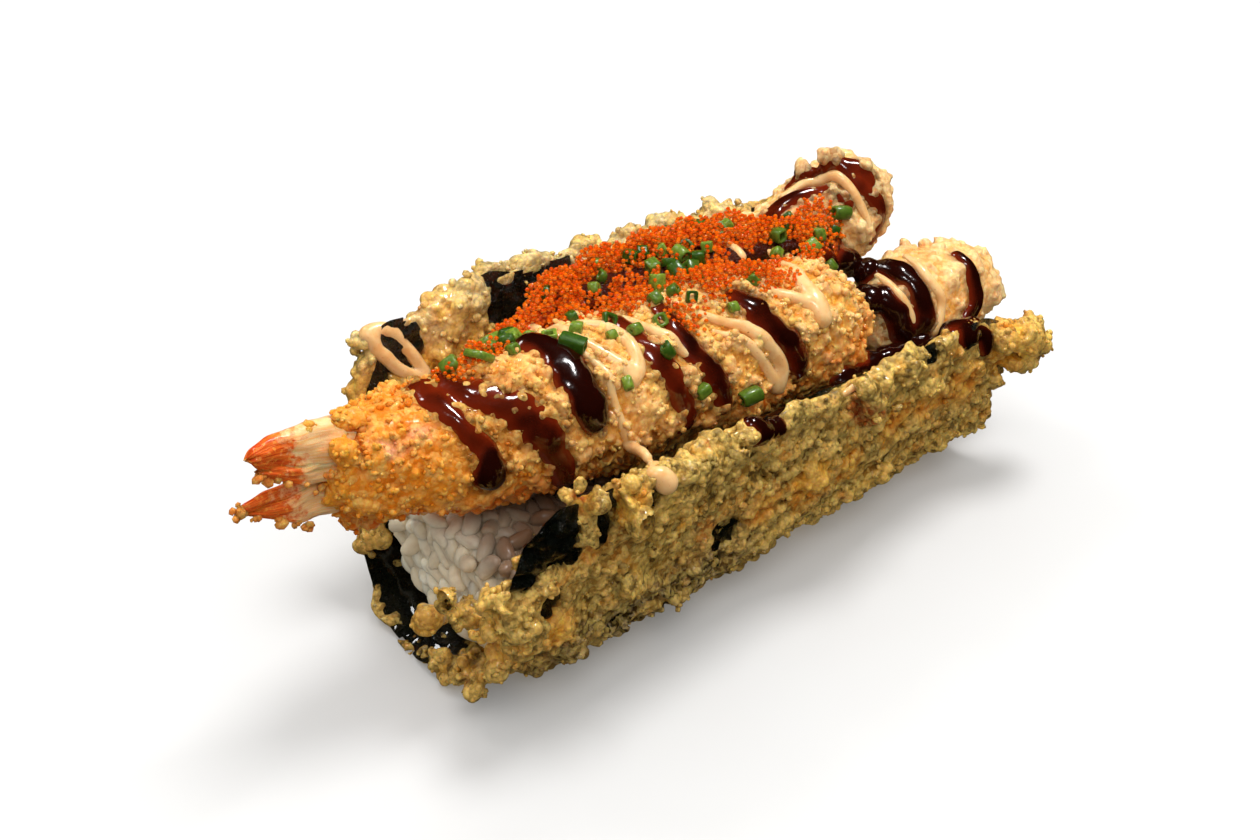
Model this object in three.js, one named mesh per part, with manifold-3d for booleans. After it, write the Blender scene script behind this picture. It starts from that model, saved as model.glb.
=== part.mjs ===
// A sushi taco: a sheet of nori in tempura batter, folded into a long U and fried crisp, filled with
// sushi rice and three tempura shrimps, with a heap of small orange roe on top.
// Millimetres. X runs along the fold, with the shrimp's tail at -X. The walls stand at -Y (the near
// wall) and at +Y (the far wall). Z is up.
import * as THREE from "three";
import { mergeVertices } from "three/addons/utils/BufferGeometryUtils.js";
import Module from "manifold-3d";

const { PI, sin, cos, abs, sign, min, max, pow, sqrt } = Math;
const { lerp, smoothstep } = THREE.MathUtils;

// ---------------------------------------------------------------- driving sizes

const GAP = 0.35; // clear space between pieces that lie against each other
const FINEST = 0.15; // detail smaller than this is dropped from a piece that is cut to fit

const SHEET = {
  keelZ: 3.2, // middle of the nori above the ground, which its batter fills down to
  thickness: 0.6,
  flat: [6, 5], // half width of the flat keel, at the front and at the back
  radius: [19, 17.5], // of the bend from the keel to a wall
  lean: 0.1, // radians that each wall stands outward
  nearRim: [45.5, 44.5, 42, 39, 37.5, 29], // height of the -Y rim, from the front to the back
  farRim: [51, 52, 50, 47, 44.5, 40], // height of the +Y rim, from the front to the back
  // X of the front and back edges at the keel and at each rim, and how sharply each edge turns
  front: { keel: -65, near: { rim: -56, turn: 12 }, far: { rim: -50, turn: 1.6 } },
  back: { keel: 57, near: { rim: 69, turn: 5 }, far: { rim: 66, turn: 3 } },
  waves: 0.7, // unevenness of the fold
};

const BATTER = {
  outer: 2.5, // mean thickness outside the nori
  inner: 1.6, // mean thickness inside it
  lumps: 0.75, // share of the thickness that comes and goes
};

const SHELL_GRID = { along: 24, round: 18 };

const RICE = {
  setBack: [5, 4], // of its ends from the front and back edges of the keel
  top: [27, 25], // height at the front and at the back
  girth: 0.68, // share of the way up to each rim that it lies against the shell
  dome: 2,
};

// Each shrimp is a path of [x, y, z] points, with the radius of its crust at each point.
const FRONT_SHRIMP = {
  path: [
    [-81, 2, 47],
    [-64, 0.5, 45],
    [-35, -3, 43],
    [0, -4, 39.5],
    [35, -5, 35.5],
  ],
  radius: [9, 12.8, 13.8, 13.6, 12.8],
};

const BACK_SHRIMP = {
  path: [
    [38, -5, 30],
    [56, -4, 29],
    [77, -3, 27],
  ],
  radius: [9.5, 11, 9.5],
};

const FAR_SHRIMP = {
  path: [
    [-8, 16, 38],
    [22, 16, 38.5],
    [43, 16, 40],
    [53, 14, 47],
    [54, 13, 55],
  ],
  radius: [6, 8, 9.5, 10.5, 9.8],
};

const FIN = {
  length: 20,
  width: [7, 8.6, 3], // at the root, halfway and at the tip
  thickness: 2.6,
};

// The roe lies from the top of the front shrimp across to the far wall.
const ROE = {
  from: -46,
  to: 46,
  nearEdge: [7, 0, -2, -2, 2], // Y of its two long edges, from the front to the back
  farEdge: [14, 24, 25, 24, 14],
  nearTop: [51, 57.5, 55.5, 52.5, 47], // height along each edge
  farTop: [47, 52.5, 52, 50, 48],
  slope: 2, // how much it falls away at its very edges
  depth: 10,
};

// ---------------------------------------------------------------- helpers

const wasm = await Module();
wasm.setup();

// Smooth unevenness between about -1 and 1, the same on every run.
function ripple(a, b, seed) {
  return (
    0.45 * sin(1.9 * a + 2.3 * b + seed) +
    0.33 * sin(4.1 * a - 3.3 * b + 2.1 * seed) +
    0.22 * sin(7.3 * a + 6.1 * b + 3.7 * seed)
  );
}

// Blend through a list of evenly spaced values, with t from 0 to 1.
function along(values, t) {
  const place = min(max(t, 0), 1) * (values.length - 1);
  const i = min(Math.floor(place), values.length - 2);
  return lerp(values[i], values[i + 1], place - i);
}

// Moves every vertex of a geometry to the place that a function gives for it.
function reshape(geometry, place) {
  const position = geometry.attributes.position;
  for (let i = 0; i < position.count; i++) {
    position.setXYZ(i, ...place(position.getX(i), position.getY(i), position.getZ(i)));
  }
  return geometry;
}

// A closed geometry as a manifold solid, with its faces turned outward.
function solid(geometry) {
  const bare = geometry.clone();
  bare.deleteAttribute("normal");
  bare.deleteAttribute("uv");
  const merged = mergeVertices(bare, 1e-4);
  const vertProperties = merged.attributes.position.array;
  const triVerts = new Uint32Array(merged.index.array);
  const made = new wasm.Manifold(new wasm.Mesh({ numProp: 3, vertProperties, triVerts }));
  if (made.volume() >= 0) return made;
  for (let i = 0; i < triVerts.length; i += 3) {
    [triVerts[i + 1], triVerts[i + 2]] = [triVerts[i + 2], triVerts[i + 1]];
  }
  return new wasm.Manifold(new wasm.Mesh({ numProp: 3, vertProperties, triVerts }));
}

// The largest body of a solid, as a geometry again.
function geometryOf(made) {
  const [body] = made.decompose().sort((a, b) => b.volume() - a.volume());
  const { numProp, numVert, vertProperties, triVerts } = body.getMesh();
  const position = new Float32Array(numVert * 3);
  for (let i = 0; i < numVert; i++) {
    position.set(vertProperties.subarray(i * numProp, i * numProp + 3), i * 3);
  }
  return new THREE.BufferGeometry()
    .setAttribute("position", new THREE.BufferAttribute(position, 3))
    .setIndex(new THREE.BufferAttribute(triVerts, 1));
}

// A geometry with its neighbours, given a little larger than they are, taken out of it.
function fitted(geometry, ...neighbours) {
  const rest = neighbours.reduce((made, neighbour) => made.subtract(neighbour), solid(geometry));
  return geometryOf(rest.simplify(FINEST));
}

// ---------------------------------------------------------------- the folded shell

// X of the front or back edge of the sheet, at v round the fold.
function endOfSheet({ keel, near, far }, v, seed) {
  const { rim, turn } = v < 0 ? near : far;
  return lerp(keel, rim, pow(abs(v), turn)) + ripple(4 * v, 0, seed);
}

// A place on the middle of the nori: u runs along the taco from 0 at the front to 1 at the back, and
// v goes round the fold from -1 at the near rim to 1 at the far rim. out points out of the taco.
function sheet(u, v) {
  const side = sign(v) || 1;
  const flat = along(SHEET.flat, u);
  const radius = along(SHEET.radius, u);
  const bend = PI / 2 - SHEET.lean;
  const rim = along(side < 0 ? SHEET.nearRim : SHEET.farRim, u) + 1.3 * ripple(9 * u, side, 2);
  const wall = (rim - SHEET.keelZ - radius * (1 - cos(bend))) / sin(bend);
  const s = abs(v) * (flat + radius * bend + wall);
  const angle = min(max((s - flat) / radius, 0), bend);
  const up = max(s - flat - radius * bend, 0);
  const out = [0, side * sin(angle), -cos(angle)];
  const wave = SHEET.waves * ripple(5 * u, 2.5 * v, 1) * smoothstep(angle, 0.2, 1);

  return {
    x: lerp(endOfSheet(SHEET.front, v, 5), endOfSheet(SHEET.back, v, 8), u),
    y: side * (min(s, flat) + radius * sin(angle) + up * cos(bend)) + wave * out[1],
    z: SHEET.keelZ + radius * (1 - cos(angle)) + up * sin(bend) + wave * out[2],
    out,
    angle,
  };
}

// One layer of the shell: the closed slab between two distances out from the middle of the nori.
function shellLayer(inside, outside) {
  const slab = new THREE.BoxGeometry(1, 2, 1, SHELL_GRID.along, SHELL_GRID.round, 1);
  return reshape(slab, (a, v, c) => {
    const p = sheet(a + 0.5, v);
    const d = (c > 0 ? inside : outside)(a + 0.5, v, p.angle);
    return [p.x, p.y + d * p.out[1], max(p.z + d * p.out[2], 0)];
  });
}

// How full the batter is at a place: lumpy all over, and thinner at the very edge of the sheet.
function fullness(u, v, seed) {
  const edge = min(u, 1 - u, 1 - abs(v));
  const lump = max(1 + BATTER.lumps * ripple(14 * u, 7 * v, seed), 0.3);
  return lump * lerp(0.6, 1, smoothstep(edge, 0, 0.05));
}

const noriFace = SHEET.thickness / 2;
const batterFace = noriFace + GAP;

// Under the keel the batter is fried flat, where the taco rests.
function outerFace(u, v, angle) {
  const wallFace = batterFace + BATTER.outer * fullness(u, v, 3);
  return lerp(SHEET.keelZ, wallFace, smoothstep(angle, 0.02, 0.4));
}

function innerFace(u, v) {
  return -batterFace - BATTER.inner * fullness(u, v, 6);
}

const outerBatter = shellLayer(() => batterFace, outerFace);
const noriSheet = shellLayer(() => -noriFace, () => noriFace);
const innerBatter = shellLayer(innerFace, () => -batterFace);
const shellSpace = solid(shellLayer((u, v) => innerFace(u, v) - GAP, outerFace));

// ---------------------------------------------------------------- the shrimps

// A lumpy body of round section along a path, rounded at both ends and made larger all over by grow.
function shrimp({ path, radius }, { seed, lumps, rows, sides = 16 }, grow = 0) {
  const curve = new THREE.CatmullRomCurve3(path.map((p) => new THREE.Vector3(...p)));
  const length = curve.getLength();
  const ball = new THREE.SphereGeometry(1, sides, rows);
  return reshape(ball, (bx, by, bz) => {
    const t = (1 - by) / 2;
    const turn = Math.atan2(bz, bx);
    const body = along(radius, t);
    const cap = min((min(t, 1 - t) * length) / body, 1);
    const lump = 1 + lumps * ripple(0.13 * length * t + cos(turn), 1.5 * sin(turn), seed);
    const atPole = t < 1e-6 || t > 1 - 1e-6;
    const r = atPole ? 0 : body * lump * sqrt(1 - (1 - cap) * (1 - cap)) + grow;
    const ahead = curve.getTangentAt(t);
    const across = new THREE.Vector3(0, 1, 0).projectOnPlane(ahead).normalize();
    const over = new THREE.Vector3().crossVectors(ahead, across);
    return curve
      .getPointAt(t)
      .addScaledVector(ahead, grow * (2 * t - 1))
      .addScaledVector(across, r * cos(turn))
      .addScaledVector(over, r * sin(turn))
      .toArray();
  });
}

const frontCrust = { seed: 4, lumps: 0.06, rows: 22 };
const backCrust = { seed: 7, lumps: 0.06, rows: 14 };
const farCrust = { seed: 9, lumps: 0.08, rows: 16 };

const frontSpace = solid(shrimp(FRONT_SHRIMP, frontCrust, GAP));
const backSpace = solid(shrimp(BACK_SHRIMP, backCrust, GAP));
const farSpace = solid(shrimp(FAR_SHRIMP, farCrust, GAP));

const frontShrimp = fitted(shrimp(FRONT_SHRIMP, frontCrust), shellSpace);
const backShrimp = fitted(shrimp(BACK_SHRIMP, backCrust), shellSpace, frontSpace);
const farShrimp = fitted(shrimp(FAR_SHRIMP, farCrust), shellSpace, frontSpace, backSpace);

// ---------------------------------------------------------------- the tail fins

// One half of the tail fan: a thin leaf along +X from the origin, widest near its tip.
function finLeaf() {
  const leaf = new THREE.SphereGeometry(1, 10, 9);
  return reshape(leaf, (bx, by, bz) => {
    const t = (1 + bx) / 2;
    const r = sqrt(max(1 - bx * bx, 0));
    const blunt = pow(r, 0.6);
    const across = r > 1e-6 ? by / r : 0;
    const through = r > 1e-6 ? bz / r : 0;
    const half = (along(FIN.width, t) / 2) * blunt;
    return [FIN.length * t, half * across, (FIN.thickness / 2) * blunt * through * (1.1 - 0.5 * t)];
  });
}

// A fin that leaves root and points at tip, with its flat side tilted round its own length by roll.
function fin(root, tip, roll) {
  const start = new THREE.Vector3(...root);
  const ahead = new THREE.Vector3(...tip).sub(start).normalize();
  const over = new THREE.Vector3(0, 1, 0).projectOnPlane(ahead).normalize();
  const across = new THREE.Vector3().crossVectors(over, ahead);
  const pose = new THREE.Matrix4()
    .makeBasis(ahead, across, over)
    .multiply(new THREE.Matrix4().makeRotationX(roll))
    .setPosition(start);
  return finLeaf().applyMatrix4(pose);
}

const TAIL = {
  upper: { root: [-74.5, 2, 51], tip: [-92, 3, 56.5], roll: 0.5 },
  lower: { root: [-76.5, 2, 44], tip: [-95, 3, 46], roll: -0.4 },
};

const tailFinUpper = fitted(fin(TAIL.upper.root, TAIL.upper.tip, TAIL.upper.roll), frontSpace);
const tailFinLower = fitted(fin(TAIL.lower.root, TAIL.lower.tip, TAIL.lower.roll), frontSpace);

// ---------------------------------------------------------------- the rice and the roe

// The rice before it is fitted in: it reaches into the middle of the nori all the way round.
function ricePlug() {
  const plug = new THREE.BoxGeometry(1, 2, 1, 14, 9, 2);
  return reshape(plug, (a, b, c) => {
    const u = a + 0.5;
    const v = b * RICE.girth;
    const skin = sheet(u, v);
    const front = endOfSheet(SHEET.front, v, 5) + RICE.setBack[0] + 1.3 * ripple(3 * b, 2 * c, 3);
    const back = endOfSheet(SHEET.back, v, 8) - RICE.setBack[1] + 1.3 * ripple(3 * b, 2 * c, 1);
    const dome = RICE.dome * (1 - b * b) + 1.2 * ripple(8 * u, 3 * b, 2);
    const top = along(RICE.top, u) + dome;
    return [lerp(front, back, u), skin.y, lerp(min(skin.z, top - 2), top, c + 0.5)];
  });
}

function roeMound() {
  const mound = new THREE.BoxGeometry(1, 2, 1, 18, 8, 1);
  return reshape(mound, (a, b, c) => {
    const t = a + 0.5;
    const across = (b + 1) / 2;
    const near = along(ROE.nearEdge, t) + 1.5 * ripple(9 * t, 0, 4);
    const far = along(ROE.farEdge, t) + 1.5 * ripple(9 * t, 2, 6);
    const height = lerp(along(ROE.nearTop, t), along(ROE.farTop, t), across);
    const top = height + 0.7 * ripple(12 * t, 3 * b, 1) - ROE.slope * pow(abs(b), 4);
    return [lerp(ROE.from, ROE.to, t), lerp(near, far, across), top - ROE.depth * (0.5 - c)];
  });
}

const sushiRice = fitted(ricePlug(), shellSpace, frontSpace, backSpace, farSpace);
const roeHeap = fitted(roeMound(), shellSpace, frontSpace, backSpace, farSpace);

// ---------------------------------------------------------------- the whole

const LOOKS = {
  batter: { color: 0xc9a552, roughness: 0.6 },
  nori: { color: 0x141a12, roughness: 0.45 },
  rice: { color: 0xf2ede2, roughness: 0.5 },
  shrimp: { color: 0xe0a45c, roughness: 0.6 },
  tail: { color: 0xc4502a, roughness: 0.35 },
  roe: { color: 0xd9480f, roughness: 0.25 },
};

const PIECES = [
  ["shell_outer_batter", outerBatter, "batter"],
  ["nori_sheet", noriSheet, "nori"],
  ["shell_inner_batter", innerBatter, "batter"],
  ["sushi_rice", sushiRice, "rice"],
  ["front_shrimp", frontShrimp, "shrimp"],
  ["back_shrimp", backShrimp, "shrimp"],
  ["far_shrimp", farShrimp, "shrimp"],
  ["tail_fin_upper", tailFinUpper, "tail"],
  ["tail_fin_lower", tailFinLower, "tail"],
  ["roe_heap", roeHeap, "roe"],
];

const taco = new THREE.Group();
for (const [name, geometry, look] of PIECES) {
  const piece = new THREE.Mesh(geometry, new THREE.MeshStandardMaterial({ ...LOOKS[look], metalness: 0 }));
  piece.name = name;
  taco.add(piece);
}

// The taco stands on Z 0, with the middle of its box over the origin.
const box = new THREE.Box3().setFromObject(taco);
const middle = box.getCenter(new THREE.Vector3());
taco.position.set(-middle.x, -middle.y, -box.min.z);

export default taco;
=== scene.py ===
"""A sushi taco: nori in tempura batter folded into a long U and fried, with sushi rice, three tempura
shrimps, orange roe, scallions, dark eel sauce and spicy mayo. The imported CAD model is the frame.

Working units are millimetres in the row frame. Crusts, sauces and drops are solids on a voxel grid,
meshed at the end and written in metres."""

import math

import bpy
import numpy as np
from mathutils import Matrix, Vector
from mathutils.bvhtree import BVHTree


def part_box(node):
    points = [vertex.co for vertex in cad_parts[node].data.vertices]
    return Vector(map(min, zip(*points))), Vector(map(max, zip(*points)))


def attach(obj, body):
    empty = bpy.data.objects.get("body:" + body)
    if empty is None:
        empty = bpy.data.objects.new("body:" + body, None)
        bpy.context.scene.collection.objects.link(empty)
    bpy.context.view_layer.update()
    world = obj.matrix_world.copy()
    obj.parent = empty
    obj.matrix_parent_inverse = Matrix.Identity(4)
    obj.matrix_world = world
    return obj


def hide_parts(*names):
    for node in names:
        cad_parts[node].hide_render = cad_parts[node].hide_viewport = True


FAR_AWAY = 9.0  # stands for any distance beyond the reach of a field
MM = 0.001

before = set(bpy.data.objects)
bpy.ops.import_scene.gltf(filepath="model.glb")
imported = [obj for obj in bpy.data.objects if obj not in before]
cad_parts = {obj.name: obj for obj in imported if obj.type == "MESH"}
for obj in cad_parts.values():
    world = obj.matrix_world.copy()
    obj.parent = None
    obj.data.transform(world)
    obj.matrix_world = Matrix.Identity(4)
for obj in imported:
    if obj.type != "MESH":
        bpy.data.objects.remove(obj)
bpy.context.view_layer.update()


# ---------------------------------------------------------------- small helpers


def smoothstep(x, low, high):
    t = np.clip((x - low) / (high - low), 0, 1)
    return t * t * (3 - 2 * t)


def along(values, t):
    """Blend through a list of evenly spaced values, with t from 0 to 1."""
    return np.interp(t, np.linspace(0, 1, len(values)), values)


def unit(vectors):
    return vectors / np.maximum(np.linalg.norm(vectors, axis=-1, keepdims=True), 1e-9)


def random_turns(count, rng):
    """Random rotation matrices, from random quaternions."""
    w, x, y, z = unit(rng.normal(size=(count, 4))).T
    rows = [
        [1 - 2 * (y * y + z * z), 2 * (x * y - z * w), 2 * (x * z + y * w)],
        [2 * (x * y + z * w), 1 - 2 * (x * x + z * z), 2 * (y * z - x * w)],
        [2 * (x * z - y * w), 2 * (y * z + x * w), 1 - 2 * (x * x + y * y)],
    ]
    return np.moveaxis(np.array(rows), -1, 0)


def spline(points, spacing):
    """A smooth line of evenly spaced samples through points, whose columns may hold more than x, y, z."""
    p = np.array(points, float)
    p = np.vstack([2 * p[0] - p[1], p, 2 * p[-1] - p[-2]])
    dense = []
    for a, b, c, d in zip(p, p[1:], p[2:], p[3:]):
        t = np.linspace(0, 1, 24, endpoint=False)[:, None]
        dense.append(
            0.5 * (
                2 * b + (c - a) * t + (2 * a - 5 * b + 4 * c - d) * t**2 + (3 * b - a - 3 * c + d) * t**3
            )
        )
    dense = np.vstack([*dense, p[-2:-1]])
    run = np.concatenate([[0], np.cumsum(np.linalg.norm(np.diff(dense[:, :3], axis=0), axis=1))])
    steps = np.linspace(0, run[-1], max(2, round(run[-1] / spacing) + 1))
    return np.column_stack([np.interp(steps, run, column) for column in dense.T])


# ---------------------------------------------------------------- voxel fields


class Field:
    """Signed distances in millimetres on a regular grid, negative inside a solid."""

    def __init__(self, low, high, step, d=None):
        self.low = np.array(low, float)
        self.step = step
        self.size = tuple(np.ceil((np.array(high) - self.low) / step).astype(int) + 1)
        self.d = np.full(self.size, FAR_AWAY, np.float32) if d is None else d

    def axes(self):
        """The grid's coordinates along x, y and z, ready to broadcast."""
        spans = (self.low[i] + self.step * np.arange(n) for i, n in enumerate(self.size))
        return np.ix_(*(np.float32(s) for s in spans))

    def sample(self, points, values=None):
        """The field, or other values on its grid, at points, by trilinear blending."""
        grid = self.d if values is None else values
        at = (np.asarray(points) - self.low) / self.step
        i = np.clip(at.astype(int), 0, np.array(self.size) - 2)
        f = np.clip(at - i, 0, 1)
        total = np.zeros(len(at))
        for corner in np.ndindex(2, 2, 2):
            weight = np.prod(np.where(corner, f, 1 - f), axis=1)
            total += weight * grid[tuple((i + corner).T)]
        if values is None:
            total += np.linalg.norm(at - i - f, axis=1) * self.step
        return total

    def slope(self, points):
        """The direction in which the field grows at points: out of the solid."""
        e = np.eye(3) * self.step * 0.7
        return unit(np.stack([self.sample(points + v) - self.sample(points - v) for v in e], axis=-1))

    def add_blobs(self, centres, radii, turns=None, melt=0.4):
        """Melts ellipsoids into the solid, each with three radii, turned by its matrix."""
        spans = [self.low[i] + self.step * np.arange(n) for i, n in enumerate(self.size)]
        for n, (centre, radius) in enumerate(zip(centres, radii)):
            reach = radius.max() + melt
            a = np.maximum(np.ceil((centre - reach - self.low) / self.step).astype(int), 0)
            b = np.minimum(np.floor((centre + reach - self.low) / self.step).astype(int) + 1, self.size)
            if np.any(a >= b):
                continue
            x, y, z = (spans[i][a[i] : b[i]] - centre[i] for i in range(3))
            x, y, z = x[:, None, None], y[None, :, None], z[None, None, :]
            if turns is not None:
                m = turns[n]
                x, y, z = (m[0, k] * x + m[1, k] * y + m[2, k] * z for k in range(3))
            ratio = np.sqrt((x / radius[0]) ** 2 + (y / radius[1]) ** 2 + (z / radius[2]) ** 2)
            box = tuple(slice(p, q) for p, q in zip(a, b))
            self.d[box] = melted(self.d[box], (ratio - 1) * radius.min(), melt)

    def blurred(self, reach):
        """The field averaged over cubes of reach voxels each way, twice."""
        out = self.d
        for axis in (0, 1, 2, 0, 1, 2):
            out = box_blur(out, reach, axis)
        return out

    def noise(self, cell, rng):
        """Smooth random values on the grid, mostly between -1 and 1, with features a cell across."""
        taps = []
        for n in self.size:
            t = np.arange(n) * self.step / cell
            i = t.astype(int)
            f = t - i
            shares = ((1 - f) ** 3, 3 * f**3 - 6 * f**2 + 4, -3 * f**3 + 3 * f**2 + 3 * f + 1, f**3)
            taps.append(weights_of(n, i, [s / 6 for s in shares]))
        lattice = rng.uniform(-1, 1, [t.shape[1] for t in taps]).astype(np.float32)
        return 2.4 * spread(lattice, taps)


def weights_of(n, first, shares):
    """A matrix that takes, for each of n samples, the given shares of the lattice values from first on."""
    m = np.zeros((n, first[-1] + len(shares)), np.float32)
    for k, share in enumerate(shares):
        m[np.arange(n), first + k] += share
    return m


def spread(lattice, taps):
    """A coarse lattice blended onto a fine grid, one axis after another."""
    x, y, z = taps
    out = (x @ lattice.reshape(lattice.shape[0], -1)).reshape(x.shape[0], *lattice.shape[1:])
    return np.matmul(np.matmul(y, out), z.T)


def finer(values, ratio, size):
    """Values on a coarse grid blended linearly onto one that is ratio times as fine."""
    taps = []
    for n in size:
        t = np.arange(n) / ratio
        i = t.astype(int)
        taps.append(weights_of(n, i, [1 - (t - i), t - i]))
    padded = [t.shape[1] - m for t, m in zip(taps, values.shape)]
    return spread(np.pad(values, [(0, max(p, 0)) for p in padded], mode="edge").astype(np.float32), taps)


def box_blur(values, reach, axis):
    """Averages along one axis over reach voxels each way."""
    width = 2 * reach + 1
    pad = [(0, 0)] * 3
    pad[axis] = (reach + 1, reach)
    total = np.cumsum(np.pad(values, pad, mode="edge"), axis=axis, dtype=np.float32)
    ends = [slice(None)] * 3
    starts = [slice(None)] * 3
    ends[axis], starts[axis] = slice(width, None), slice(None, -width)
    return (total[tuple(ends)] - total[tuple(starts)]) / width


def melted(a, b, melt):
    """The union of two distance fields, with a fillet where they meet."""
    near = np.maximum(melt - np.abs(a - b), 0) / melt
    return np.minimum(a, b) - near * near * melt / 4


def surface_of(field):
    """The surface of a field, as vertices in millimetres and outward quads: one vertex in each cell
    that the surface crosses, at the mean of the crossings of its edges."""
    d = field.d
    inside = d < 0
    filled = sum(
        inside[x : x - 1 or None, y : y - 1 or None, z : z - 1 or None].astype(np.int8)
        for x, y, z in np.ndindex(2, 2, 2)
    )
    cells = np.argwhere((filled > 0) & (filled < 8))
    number = np.full(filled.shape, -1, np.int32)
    number[tuple(cells.T)] = np.arange(len(cells))
    corners = {c: d[tuple((cells + c).T)] for c in np.ndindex(2, 2, 2)}
    total, count = np.zeros((len(cells), 3)), np.zeros(len(cells))
    for a in corners:
        for axis in range(3):
            if a[axis]:
                continue
            b = tuple(int(i == axis) or a[i] for i in range(3))
            crossed = (corners[a] < 0) != (corners[b] < 0)
            t = corners[a][crossed] / (corners[a][crossed] - corners[b][crossed])
            total[crossed] += a
            total[crossed, axis] += t
            count[crossed] += 1
    vertices = field.low + field.step * (cells + total / count[:, None])
    quads = []
    for axis in range(3):
        lower = [slice(1, -1)] * 3
        upper = [slice(1, -1)] * 3
        lower[axis], upper[axis] = slice(0, -1), slice(1, None)
        change = inside[tuple(lower)].astype(np.int8) - inside[tuple(upper)]
        u, v = (axis + 1) % 3, (axis + 2) % 3
        edges = np.argwhere(change)
        outward = change[tuple(edges.T)] > 0
        edges[:, u] += 1
        edges[:, v] += 1
        ring = []
        for du, dv in ((0, 0), (-1, 0), (-1, -1), (0, -1)):
            cell = edges.copy()
            cell[:, u] += du
            cell[:, v] += dv
            ring.append(number[tuple(cell.T)])
        ring = np.stack(ring, axis=1)
        quads.append(np.where(outward[:, None], ring, ring[:, ::-1]))
    return vertices, np.vstack(quads)


# ---------------------------------------------------------------- meshes


def normals_of(vertices, faces):
    """A unit normal at each vertex of a mesh of quads or triangles."""
    across = np.cross(
        vertices[faces[:, 2]] - vertices[faces[:, 0]],
        vertices[faces[:, -1]] - vertices[faces[:, 1]],
    )
    total = np.zeros_like(vertices)
    for column in faces.T:
        np.add.at(total, column, across)
    return unit(total)


def mesh_object(name, vertices, faces, material, attributes=None):
    """A smooth mesh from vertices in millimetres and equal-sized faces, with a value per vertex for
    each attribute."""
    mesh = bpy.data.meshes.new(name)
    corners = faces.shape[1]
    mesh.vertices.add(len(vertices))
    mesh.vertices.foreach_set("co", np.float32(vertices * MM).ravel())
    mesh.loops.add(faces.size)
    mesh.loops.foreach_set("vertex_index", faces.astype(np.int32).ravel())
    mesh.polygons.add(len(faces))
    mesh.polygons.foreach_set("loop_start", np.arange(0, faces.size, corners, dtype=np.int32))
    mesh.polygons.foreach_set("use_smooth", np.ones(len(faces), bool))
    for key, values in (attributes or {}).items():
        mesh.attributes.new(key, "FLOAT", "POINT").data.foreach_set("value", np.float32(values))
    mesh.update(calc_edges=True)
    mesh.validate()
    mesh.materials.append(material)
    made = bpy.data.objects.new(name, mesh)
    bpy.context.scene.collection.objects.link(made)
    return made


def thinned(piece, share):
    """Leaves a share of a mesh's triangles, dropping those that shape it least."""
    piece.modifiers.new("thin", "DECIMATE").ratio = share
    graph = bpy.context.evaluated_depsgraph_get()
    lighter = bpy.data.meshes.new_from_object(piece.evaluated_get(graph))
    piece.modifiers.clear()
    heavy, piece.data = piece.data, lighter
    bpy.data.meshes.remove(heavy)
    return piece


def icosahedron():
    g = (1 + math.sqrt(5)) / 2
    corners = [(-1, g, 0), (1, g, 0), (-1, -g, 0), (1, -g, 0), (0, -1, g), (0, 1, g)]
    corners += [(0, -1, -g), (0, 1, -g), (g, 0, -1), (g, 0, 1), (-g, 0, -1), (-g, 0, 1)]
    facets = [(0, 11, 5), (0, 5, 1), (0, 1, 7), (0, 7, 10), (0, 10, 11), (1, 5, 9), (5, 11, 4)]
    facets += [(11, 10, 2), (10, 7, 6), (7, 1, 8), (3, 9, 4), (3, 4, 2), (3, 2, 6), (3, 6, 8)]
    facets += [(3, 8, 9), (4, 9, 5), (2, 4, 11), (6, 2, 10), (8, 6, 7), (9, 8, 1)]
    return unit(np.array(corners, float)), facets


CORNERS, FACETS = icosahedron()


def part_of(vertices, faces, keep, attributes):
    """The faces that keep marks, with only the vertices that they use."""
    faces = faces[keep]
    used, faces = np.unique(faces, return_inverse=True)
    shape = (-1, 4)
    return vertices[used], faces.reshape(shape), {k: v[used] for k, v in attributes.items()}


def kept_piece(name, vertices, faces, keep, values, material):
    """A mesh object of the faces that keep marks."""
    vertices, faces, values = part_of(vertices, faces, keep, values)
    return mesh_object(name, vertices, faces, material, values)


def finished(piece, slot, *replaced):
    """Fixes a piece to the object and hides the CAD nodes that it stands for. The finish slot is not used.
    """
    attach(piece, "root")
    if replaced:
        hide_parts(*replaced)
    return piece


# ---------------------------------------------------------------- shaders


def rgb(red, green, blue):
    """A colour given in sRGB, 0 to 255, as Blender's linear RGBA."""
    channels = (c / 255 for c in (red, green, blue))
    return (*(c / 12.92 if c <= 0.04045 else ((c + 0.055) / 1.055) ** 2.4 for c in channels), 1.0)


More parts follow.
